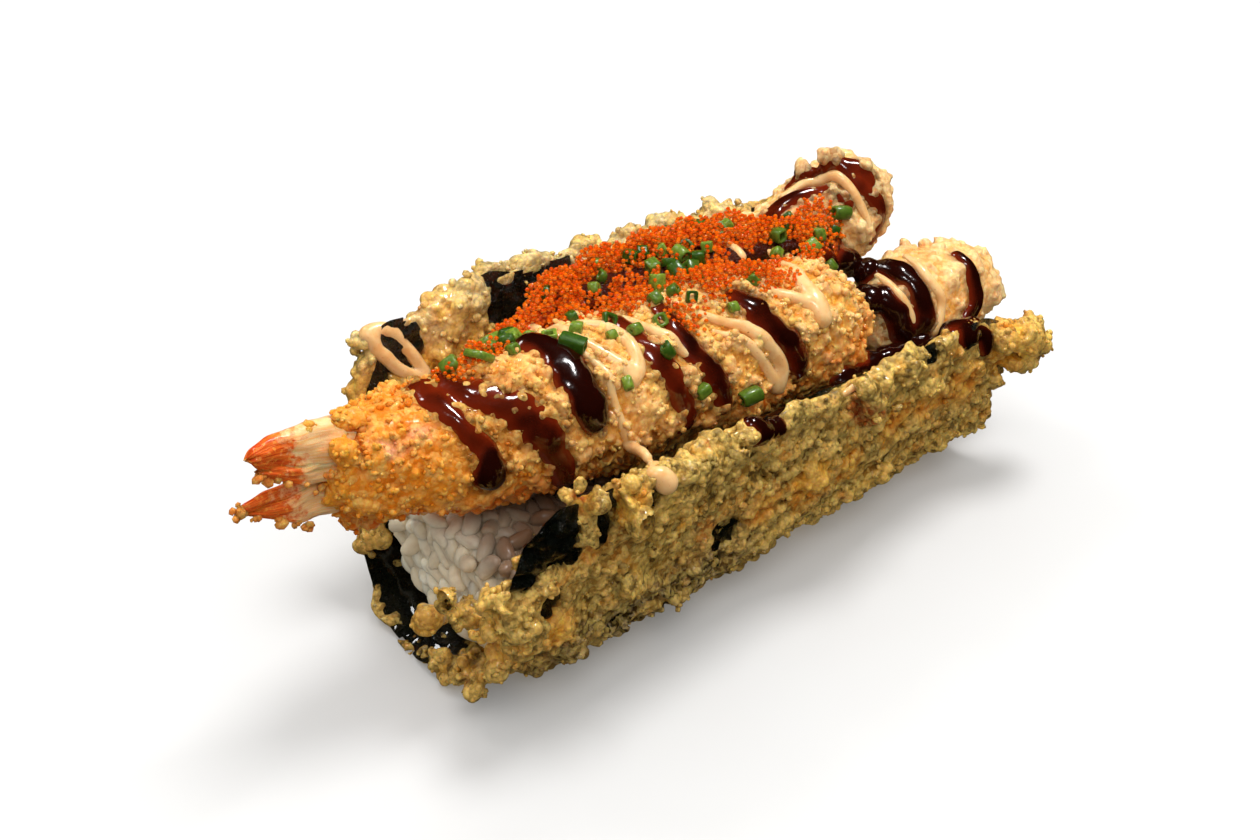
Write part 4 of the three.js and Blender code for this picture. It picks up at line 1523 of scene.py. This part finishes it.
MAYO = [
    [
        (-45, 27.5, 53.5, 3.0, 1.5), (-42, 27, 53.5, 3.0, 1.6), (-39, 26.5, 51, 2.8, 2.0),
        (-36.5, 25.5, 46.5, 2.6, 1.9), (-33.8, 24, 40.5, 2.2, 1.2),
    ],
    [
        (-45.5, 27, 53, 2.8, 1.6), (-44, 25.8, 50, 2.7, 1.9), (-42.2, 25.2, 47.8, 2.5, 1.9),
        (-39.4, 24.8, 44, 2.4, 1.8), (-34.5, 24, 39.5, 2.0, 1.2),
    ],
    [
        (-26, 9, 53, 1.4, 0.7), (-21.5, 5, 55, 1.8, 0.9), (-22, -4, 56, 2.2, 1.0), (-20, -9, 55, 2.6, 1.1),
        (-18.5, -13, 52, 3.0, 1.3),
    ],
    [
        (-18, 0, 56, 1.8, 0.8), (-14.5, -4, 56, 2.6, 1.1), (-14.5, -9.5, 54.5, 2.6, 1.2),
        (-16, -13, 51.5, 3.2, 1.5), (-18.5, -14, 50.5, 3.0, 1.3),
    ],
    [
        (-24, -6, 56, 1.3, 0.6), (-22.5, -12, 53, 1.6, 0.8), (-23, -15, 49, 1.7, 0.8),
        (-22.5, -17, 44, 1.8, 0.8), (-21.5, -18, 40.5, 1.9, 0),
    ],
    [
        (-21.5, -18, 40.5, 1.9, 0), (-23, -23, 42.5, 1.9, 0), (-25.5, -28, 45.5, 2.6, 1.3),
        (-25, -29.5, 43, 3.4, 1.7), (-24, -29.5, 40.5, 4.2, 2.2),
    ],
    [
        (-10, -2, 56, 1.4, 0.7), (-9, -8, 55.5, 2.2, 1.0), (-7.5, -11.5, 53, 2.4, 1.1),
        (-5, -14, 50, 1.8, 0.8),
    ],
    [
        (2, -8, 53, 1.5, 0.7), (5.5, -11, 52, 2.0, 0.9), (9.5, -13.5, 50, 2.5, 1.1),
        (12.5, -16.5, 46, 2.8, 1.3), (14.5, -18, 41.5, 3.0, 1.4), (13.5, -18, 37.5, 2.8, 1.2),
    ],
    [
        (3, -12, 51, 1.3, 0.6), (7, -14.5, 49, 1.8, 0.8), (9.5, -16.5, 45.5, 2.2, 1.0),
        (11.5, -18, 41.5, 2.4, 1.1), (12.5, -18, 38, 2.4, 1.1),
    ],
    [
        (31, 0, 52, 1.3, 0.6), (29.5, -5, 51, 2.2, 1.0), (27.5, -10, 50, 3.4, 1.7),
        (26.5, -13.5, 48, 4.6, 2.3), (26, -15, 45.5, 4.0, 2.0),
    ],
    [(17, -6, 52, 1.6, 0.8), (21, -9.5, 50.5, 2.4, 1.1), (25, -13, 48.5, 3.0, 1.5)],
    [(27, 13, 53.5, 1.3, 0.6), (25.5, 8, 54, 1.7, 0.8), (25, 3, 53.5, 2.0, 0.9)],
    [
        (55, 3, 40, 1.3, 0.6), (54.5, -4, 39.5, 1.7, 0.8), (54.5, -10, 37, 2.0, 0.9),
        (54.5, -14, 33, 2.0, 0.9), (52, -15, 28, 1.8, 0.8),
    ],
    [
        (63, -3, 40, 1.6, 0.8), (62, -10, 38.5, 2.2, 1.0), (62.5, -14, 34, 2.4, 1.0),
        (59, -15.5, 29.5, 2.0, 0.9),
    ],
    [
        (49, 18, 50, 1.6, 0.8), (53, 16, 52, 2.2, 1.0), (57.5, 12, 53.5, 2.4, 1.1),
        (58.5, 7, 50.5, 2.0, 0.9), (59, 4.5, 46, 1.6, 0.8), (58, 3, 42, 1.4, 0.7),
    ],
    [(40, -25, 39, 1.4, 0.7), (46, -27, 38.5, 1.8, 0.8), (52, -28, 38, 1.2, 0.6)],
    [(17, -27, 41, 1.2, 0.5), (22, -27.5, 40.5, 1.6, 0.7), (27, -27, 39.5, 1.2, 0.5)],
]


def make_sauces(ground):
    rng = np.random.default_rng(41)
    eel = Field((-58, -33, 22), (80, 33, 61), 0.4)
    mayo = Field(eel.low, eel.low, 0.4)
    mayo.size, mayo.d = eel.size, eel.d.copy()
    pour(eel, ground, EEL, rng, ragged=0.32)
    pour(mayo, ground, MAYO, rng, merge=0.5, ragged=0.06)
    for name, field, look in (("eel_sauce", eel, eel_gloss()), ("spicy_mayo", mayo, mayo_cream())):
        vertices, quads = surface_of(field)
        shown = ground.distance(vertices[quads].mean(1)) > -0.62
        values = {"depth": ground.distance(vertices)}
        piece = kept_piece(name, vertices, quads, shown, values, look)
        finished(thinned(piece, 0.5), name)
    return eel, mayo


def eel_gloss():
    """Thick eel sauce: near black where deep, red-brown at its thin edges, with a wet shine."""
    s = Shader("eel_gloss")
    depth = s.math("ADD", s.value("depth"), s.math("MULTIPLY", s.math("SUBTRACT", s.noise(3), 0.5), 0.5))
    tone = s.mix(s.span(depth, 0.1, 1.3), rgb(112, 30, 6), rgb(30, 5, 2))
    s.set(Base_Color=tone, Roughness=0.14, Coat_Weight=0.3, Coat_Roughness=0.04, Subsurface_Weight=0.1)
    s.set(Subsurface_Radius=(1.0, 0.25, 0.1), Subsurface_Scale=0.6 * MM)
    s.set(Normal=s.bump(s.noise(1.6, detail=2), 0.12, 0.5))
    return s.material


def mayo_cream():
    """Spicy mayo: smooth peach cream with a few flecks of chilli."""
    s = Shader("mayo_cream")
    tone = s.mix(s.span(s.noise(2.5), 0.4, 0.7), rgb(240, 196, 136), rgb(232, 176, 110))
    tone = s.mix(s.span(s.value("depth"), 0.5, 0.0, 0, 0.6), tone, rgb(226, 158, 88))
    tone = s.mix(s.span(s.noise(0.35, detail=1), 0.7, 0.76, 0, 0.6), tone, rgb(200, 90, 40))
    s.set(Base_Color=tone, Roughness=0.3, Coat_Weight=0.35, Coat_Roughness=0.1, Subsurface_Weight=0.5)
    s.set(Subsurface_Radius=(1.0, 0.7, 0.4), Subsurface_Scale=1.4 * MM)
    s.set(Normal=s.bump(s.noise(1.2, detail=2), 0.08, 0.5))
    return s.material


def height_map(fields, low, high, step=0.5):
    """The height of the highest surface over each place of a grid in x and y."""
    xs, ys = np.arange(low[0], high[0], step), np.arange(low[1], high[1], step)
    x, y = np.meshgrid(xs, ys, indexing="ij")
    top = np.full(x.shape, -10.0)
    for z in np.arange(20, 61, step):
        places = np.stack([x.ravel(), y.ravel(), np.full(x.size, z)], -1)
        below = np.min([f.sample(places) for f in fields], axis=0).reshape(x.shape)
        inside = below < 0
        top[inside] = z - below[inside]
    return Field((*low, 0), (*low, 0), step, top[..., None])


# The heap of roe as round patches: x, y, reach, and how thick it lies from 0 to 1.
ROE_PATCHES = [
    (-44, 1, 4, 0.35),
    (-36, 3, 5, 0.5),
    (-26, 9, 6, 0.7),
    (-17, 8, 7, 0.95),
    (-10, 13, 7, 1.0),
    (-6, 3, 6, 0.9),
    (2, 17, 6, 1.0),
    (3, 8, 7, 1.0),
    (8, -3, 6, 0.9),
    (14, 15.5, 7, 1.0),
    (15, 3, 7, 1.0),
    (20, -5, 5, 1.0),
    (24, 15.5, 6.5, 0.9),
    (26, 4, 7, 1.0),
    (34, 19, 5, 0.9),
    (35, 10, 6, 1.0),
    (38, 1, 5, 0.9),
    (44, 7, 6, 0.9),
    (50, 8, 5, 0.9),
    (47, 0, 4, 0.5),
    (-1, -8, 4, 0.4),
    (26, -8, 3, 0.35),
]


def roe_cover(x, y):
    px, py, reach, share = np.array(ROE_PATCHES).T
    away = np.hypot(np.asarray(x)[..., None] - px, np.asarray(y)[..., None] - py)
    return (share * smoothstep(away / reach, 1.15, 0.55)).max(-1)


# The gaps where sauce shows between the clumps: x, y, reach.
ROE_GAPS = [(-7, 8.5, 2.6), (-2, 10.5, 3), (3, 8.5, 3), (8.5, 6.5, 3), (13.5, 5, 2.6), (19, 8, 2.2)]
ROE_GAPS += [
    (23.5, 4.5, 2.4), (26, 1, 2.4), (30, 3, 2.2), (36, 3, 2.6), (-22, 4, 2.4), (-31, 6, 2.6), (32, 14, 2.2),
    (4, -5, 2),
]


def roe_clump(x, y):
    """How much the roe gathers at a place: 1 in a clump, 0 in a gap between clumps."""
    x, y = np.asarray(x), np.asarray(y)
    waves = ripple(x * 0.5, y * 0.55, 4.0) + 0.7 * ripple(y * 0.9, x * 0.8, 1.0)
    gx, gy, reach = np.array(ROE_GAPS).T
    gap = smoothstep(np.hypot(x[..., None] - gx, y[..., None] - gy) / reach, 1.5, 0.9).max(-1)
    return smoothstep(waves, -1.1, 0.5) * (1 - gap)


EGG = 0.46  # radius of a roe egg
LOWEST_BED = 20  # no egg comes to rest on ground lower than this


def drop_roe(fields, rng, most=7000):
    """Loose eggs dropped one by one onto what is below, two or three deep in the middle of the heap."""
    low, high = (-52, -16), (62, 28)
    tops = height_map(fields, low, high)
    kept = np.full((most, 3), -99.0)
    count = tries = 0
    while count < most and tries < 90000:
        tries += 1
        x, y = rng.uniform(low[0], high[0] - 1), rng.uniform(low[1], high[1] - 1)
        cover = roe_cover(x, y)
        clump = roe_clump(x, y)
        if rng.random() > cover * clump:
            continue
        ground = tops.d[int((x - low[0]) / tops.step), int((y - low[1]) / tops.step), 0]
        if ground < LOWEST_BED:
            continue
        z = ground + EGG * 0.6
        flat = (kept[:count, 0] - x) ** 2 + (kept[:count, 1] - y) ** 2
        reach = (EGG * 1.85) ** 2
        near = flat < reach
        if near.any():
            z = max(z, (kept[:count, 2][near] + np.sqrt(reach - flat[near])).max())
        if z <= ground + 0.5 + 3.0 * cover * clump:
            kept[count] = x, y, z
            count += 1
    return kept[:count]


def show_roe(fields, core, rng):
    """The eggs over a lumpy core of the same colour."""
    places = drop_roe(fields, rng)
    count = len(places)
    sizes = EGG * rng.uniform(0.9, 1.08, (count, 1)) * np.ones((1, 3))
    points, faces = crumb_shape()
    turns = random_turns(count, rng)
    vertices, faces, owner = copies(points, faces, places, turns, sizes)
    away_from_light = np.einsum("nij,kj->nki", turns, points) @ -direction(130, 60)
    values = {"shade": rng.uniform(0, 1, count)[owner], "glow": away_from_light.ravel()}
    finished(mesh_object("roe_eggs", vertices, faces, roe_skin(), values), "roe", "roe_heap")
    bed = Field(core.low, core.low, 1.0, core.d[::2, ::2, ::2])
    vertices, quads = surface_of(bed)
    centres = vertices[quads].mean(1)
    shown = roe_cover(centres[:, 0], centres[:, 1]) > 0.35
    values = {
        "cover": roe_cover(vertices[:, 0], vertices[:, 1]) * roe_clump(vertices[:, 0], vertices[:, 1])
    }
    piece = kept_piece("roe_bed", vertices, quads, shown, values, roe_bed())
    finished(piece, "roe", "roe_heap")


def roe_skin():
    """Glossy, clear orange eggs, no two quite alike: light gathers on the side away from its source."""
    s = Shader("roe_skin")
    shade = s.value("shade")
    deep = s.mix(s.span(shade, 0, 1), rgb(238, 78, 0), rgb(255, 122, 4))
    bright = s.mix(s.span(shade, 0, 1), rgb(255, 176, 44), rgb(255, 214, 104))
    tone = s.mix(s.span(s.value("glow"), -0.1, 0.9), deep, bright)
    s.set(
        Base_Color=tone, Roughness=0.1, IOR=1.38, Transmission_Weight=0.3, Coat_Weight=0.6,
        Coat_Roughness=0.05,
    )
    return s.material


def roe_bed():
    """What shows between the eggs: crushed roe and sauce."""
    s = Shader("roe_bed")
    beads, _ = s.beads(0.8)
    tone = s.mix(s.span(beads, 0.2, 0.7), rgb(244, 112, 12), rgb(176, 54, 2))
    tone = s.mix(s.span(s.value("cover"), 0.6, 0.15), tone, rgb(52, 12, 4))
    s.set(Base_Color=tone, Roughness=0.35, Specular_IOR_Level=0.2, Normal=s.bump(beads, -0.5, 0.9))
    return s.material


# Cut scallion: x, y, z, outer radius, length, kind (0 a short solid-looking bit, 1 a ring, 2 a tube).
SCALLIONS = [
    (-43.9, 2.1, 57, 1.4, 3.4, 0), (-39.5, -0.4, 58, 2.3, 2.2, 1), (-33.8, -2, 57, 1.1, 2.2, 0),
    (-36, 1.4, 57, 1.3, 2.4, 0),
    (-31.8, 9.6, 55, 2.4, 3.0, 1), (-28.6, 7.4, 56, 1.9, 2.6, 1), (-32.2, 2, 57, 1.7, 2.6, 1),
    (-29.6, 3.6, 57, 1.4, 2.4, 0),
    (-25.6, -1.2, 58, 1.5, 2.4, 1), (-24.5, -6.5, 57, 1.3, 3.9, 2), (-21, -3, 58, 1.4, 2.4, 0),
    (-18, 2, 57, 1.2, 2.0, 0),
    (-20, -15.5, 51.5, 1.0, 2.6, 0), (-13, -3, 58, 1.5, 2.0, 1), (-12, -8, 56.5, 1.2, 2.2, 0),
    (-10, -14, 53, 1.3, 2.6, 0),
    (-6, -8, 56, 1.4, 2.2, 1), (-3, -3, 57, 1.3, 2.2, 0), (-6, -17.5, 45, 1.2, 2.8, 0),
    (3, -6, 55, 1.2, 1.8, 1),
    (5, -18, 40, 1.6, 3.4, 2), (9, -11, 53.5, 1.1, 2.0, 0), (17, -7, 53.5, 1.3, 1.8, 0),
    (20, -4, 53.5, 1.2, 1.8, 0),
    (3, 3, 58, 1.5, 3.0, 2), (6, 8, 58, 1.4, 2.6, 0), (8, 3, 57.5, 1.6, 3.2, 2), (10, 8, 58, 1.5, 2.6, 1),
    (12, 4, 57, 1.4, 2.8, 0), (14, 9, 57, 1.5, 2.4, 2), (16, 6, 57, 1.3, 2.6, 0), (12, 12, 57, 1.3, 2.4, 0),
    (9, 14, 57.5, 1.2, 2.2, 0), (17, 11, 56, 1.5, 2.6, 1), (20, 8, 56, 1.2, 2.2, 0),
    (6, 14, 57, 1.3, 2.2, 2),
    (13, 0, 56, 1.2, 2.2, 0), (2, -2, 57, 1.2, 2.4, 0), (26, 18, 55, 1.5, 2.8, 2),
    (29, 14, 55, 1.4, 2.4, 1),
    (33, 17, 54, 1.3, 2.2, 0), (36, 6, 54, 1.5, 2.8, 2), (38, 12, 53, 1.3, 2.4, 0),
    (41, 8, 53, 1.4, 2.4, 1),
    (40, 0, 50, 1.6, 2.8, 2), (44, 3, 49, 1.4, 2.4, 0), (47, 6, 50, 1.4, 2.4, 1), (50, 4, 48, 1.2, 2.2, 0),
    (45, 12, 51, 1.3, 2.4, 0), (54, 6, 49, 1.5, 3.0, 2), (42, -3, 46, 1.3, 2.6, 0),
    (31, -1, 53, 1.2, 2.0, 0),
    (23, -2, 54.5, 1.1, 1.8, 0), (-15, 13, 57, 1.3, 2.2, 0), (-8, 8, 58, 1.3, 2.2, 0),
    (-3, 12, 58, 1.2, 2.2, 1),
    (0, 17, 56, 1.2, 2.0, 0), (-27, 3, 57.5, 1.3, 1.8, 1), (-16, -7, 57, 1.0, 1.8, 0),
    (22, 22, 53, 1.2, 2.0, 0),
]


def scallion_piece(radius, length, kind, rng):
    """A short cut length of green onion: a bit, a thin ring or a longer tube, pinched out of round."""
    columns = 14
    wall = radius * (0.45 if kind else 0.8)
    length *= (1.0, 0.7, 1.3)[kind]
    turn = np.linspace(0, 2 * math.pi, columns, endpoint=False)
    pinch = 1 + rng.uniform(0.1, 0.35) * np.cos(2 * turn) + 0.06 * np.sin(3 * turn + rng.uniform(0, 6))
    h, w = length / 2, wall
    profile = [(h * 0.86, radius), (h, radius - 0.22 * w), (h, radius - 0.78 * w), (h * 0.8, radius - w)]
    profile += [
        (-h * 0.8, radius - w), (-h, radius - 0.78 * w), (-h, radius - 0.22 * w), (-h * 0.86, radius),
        (0, radius * 1.04),
    ]
    slant = rng.uniform(-0.25, 0.25)
    rings = [
        np.stack([x + slant * r * np.cos(turn), r * pinch * np.cos(turn), r / pinch * np.sin(turn)], -1)
        for x, r in profile
    ]
    points = np.vstack(rings)
    points[:, 1] += 0.05 * rng.normal() * points[:, 0] ** 2
    first = np.arange(len(profile) * columns)
    after = first + 1 - columns * ((first + 1) % columns == 0)
    faces = np.stack([first, after, after + columns, first + columns], axis=1) % len(first)
    return points, faces


def make_scallions(ground, rng):
    vertices, faces, shades, count = [], [], [], 0
    spots = ground.settle(np.array([s[:3] for s in SCALLIONS], float), 3)
    out = ground.slope(spots)
    for (*_, radius, length, kind), spot, up in zip(SCALLIONS, spots, out):
        points, quads = scallion_piece(0.88 * radius, 0.9 * length, kind, rng)
        lie = unit(rng.normal(size=3))
        stand = rng.uniform(0.6, 1.0) if kind == 1 else rng.uniform(-0.3, 0.4)
        lie = unit(unit(lie - up * (lie @ up)) * math.sqrt(max(1 - stand**2, 0)) + up * stand)
        turn = turns_along(lie[None], rng)[0]
        lift = radius * (0.55 if kind == 1 else 0.75)
        vertices.append(points @ turn.T + spot + up * lift)
        faces.append(quads + count)
        shades.append(np.full(len(points), rng.random()))
        count += len(points)
    values = {"shade": np.concatenate(shades)}
    piece = mesh_object("scallions", np.vstack(vertices), np.vstack(faces), scallion_green(), values)
    return finished(piece, "scallion")


def scallion_green():
    """Fresh green onion: ribbed lengthwise, from leaf green to pale, with a wet skin."""
    s = Shader("scallion_green")
    tone = s.mix(s.span(s.value("shade"), 0.1, 1.0), rgb(46, 82, 10), rgb(124, 148, 46))
    tone = s.mix(s.span(s.noise(0.8, detail=3), 0.4, 0.7, 0, 0.5), tone, rgb(26, 52, 6))
    s.set(Base_Color=tone, Roughness=0.3, Subsurface_Weight=0.3, Coat_Weight=0.3, Coat_Roughness=0.15)
    s.set(Subsurface_Radius=(0.4, 1.0, 0.2), Subsurface_Scale=0.8 * MM)
    s.set(Normal=s.bump(s.noise(0.3, detail=2), 0.06, 0.6))
    return s.material


# ---------------------------------------------------------------- the studio

AIM = (1.62, 8.95, 22)  # what the camera looks at, mm
AZIMUTH, ELEVATION, AWAY = -41, 34, 397


def direction(azimuth, elevation):
    """The way to a viewer round the object: azimuth 0 stands at -Y, 90 at +X."""
    a, e = math.radians(azimuth), math.radians(elevation)
    return Vector((math.sin(a) * math.cos(e), -math.cos(a) * math.cos(e), math.sin(e)))


def make_camera():
    data = bpy.data.cameras.new("camera")
    data.lens, data.sensor_width = 60, 36
    data.clip_start, data.clip_end = 0.01, 20
    camera = bpy.data.objects.new("camera", data)
    back = direction(AZIMUTH, ELEVATION)
    camera.location = Vector(AIM) * MM + back * AWAY * MM
    camera.rotation_euler = back.to_track_quat("Z", "Y").to_euler()
    bpy.context.scene.collection.objects.link(camera)
    bpy.context.scene.camera = camera


def softbox(name, azimuth, elevation, away, size, watts, shines=True, glints=True):
    """A round light. It shines when it lights matt surfaces, and glints when glossy ones show it."""
    data = bpy.data.lights.new(name, "AREA")
    data.shape, data.size, data.energy = "DISK", size, watts
    light = bpy.data.objects.new(name, data)
    light.visible_diffuse, light.visible_glossy = shines, glints
    way = direction(azimuth, elevation)
    light.location = way * away
    light.rotation_euler = way.to_track_quat("Z", "Y").to_euler()
    bpy.context.scene.collection.objects.link(light)


def make_room():
    """A white room, brightest overhead and dim toward its floor."""
    world = bpy.data.worlds.new("room")
    world.use_nodes = True
    nodes, links = world.node_tree.nodes, world.node_tree.links
    background = nodes["Background"]
    place = nodes.new("ShaderNodeTexCoord")
    parts = nodes.new("ShaderNodeSeparateXYZ")
    ramp = nodes.new("ShaderNodeValToRGB")
    height = nodes.new("ShaderNodeMapRange")
    height.inputs["From Min"].default_value = -1
    links.new(place.outputs["Generated"], parts.inputs[0])
    links.new(parts.outputs["Z"], height.inputs["Value"])
    links.new(height.outputs[0], ramp.inputs[0])
    links.new(ramp.outputs[0], background.inputs[0])
    stops = ((0.0, 0.36), (0.5, 0.28), (0.62, 0.38), (0.85, 0.86), (1.0, 1.0))
    ramp.color_ramp.elements[0].position = stops[0][0]
    ramp.color_ramp.elements[1].position = stops[-1][0]
    for position, _ in stops[1:-1]:
        ramp.color_ramp.elements.new(position)
    for element, (_, light) in zip(ramp.color_ramp.elements, stops):
        element.color = (light, light, light * 0.98, 1)
    background.inputs[1].default_value = 1.0
    world.cycles_visibility.glossy = False
    bpy.context.scene.world = world


def make_table():
    """A white table that glows a little, so that the shadows on it stay soft."""
    s = Shader("table_top")
    grain = s.noise(40, detail=2)
    s.set(
        Base_Color=s.mix(grain, rgb(205, 205, 205), rgb(201, 200, 199)), Roughness=0.9,
        Specular_IOR_Level=0.0,
    )
    s.set(Emission_Color=(1, 0.995, 0.985, 1), Emission_Strength=0.1)
    half = 3000
    corners = np.array(
        [(-half, -half, -0.02), (half, -half, -0.02), (half, half, -0.02), (-half, half, -0.02)]
    )
    table = mesh_object("table", corners, np.array([[0, 1, 2, 3]]), s.material)
    table.visible_diffuse = table.visible_glossy = False


def make_studio():
    make_table()
    make_room()
    softbox("key", 95, 72, 0.9, 0.32, 5.0, glints=False)
    softbox("fill", -30, 55, 0.9, 0.6, 2.0, glints=False)
    softbox("back", 185, 48, 0.9, 0.25, 1.6, glints=False)
    softbox("glint", 95, 70, 0.9, 0.15, 4.0, shines=False)
    softbox("front_glint", -55, 62, 0.9, 0.1, 0.9, shines=False)
    softbox("rear_glint", 200, 50, 0.9, 0.16, 1.0, shines=False)
    bpy.context.scene.view_settings.view_transform = "Standard"


# ---------------------------------------------------------------- the whole taco

make_camera()
make_studio()
rice = node_field("sushi_rice", 1.0)
shell_field = make_shell(rice)
make_nori(shell_field)
shrimps = make_shrimps()
roe_core = node_field("roe_heap", 0.5)
roe_core.d += 0.9
ground = Ground([shell_field, *shrimps.values(), roe_core])
eel, mayo = make_sauces(ground)
shrimp_look = crisp_crumb()
show_shrimps(shrimps, shrimp_look, eel, Ground([rice, roe_core]), np.random.default_rng(71))
make_tail(tail_shell(), shrimp_look, np.random.default_rng(72))
make_rice(rice)
show_roe([*shrimps.values(), roe_core, shell_field], roe_core, np.random.default_rng(51))
make_scallions(ground, np.random.default_rng(61))
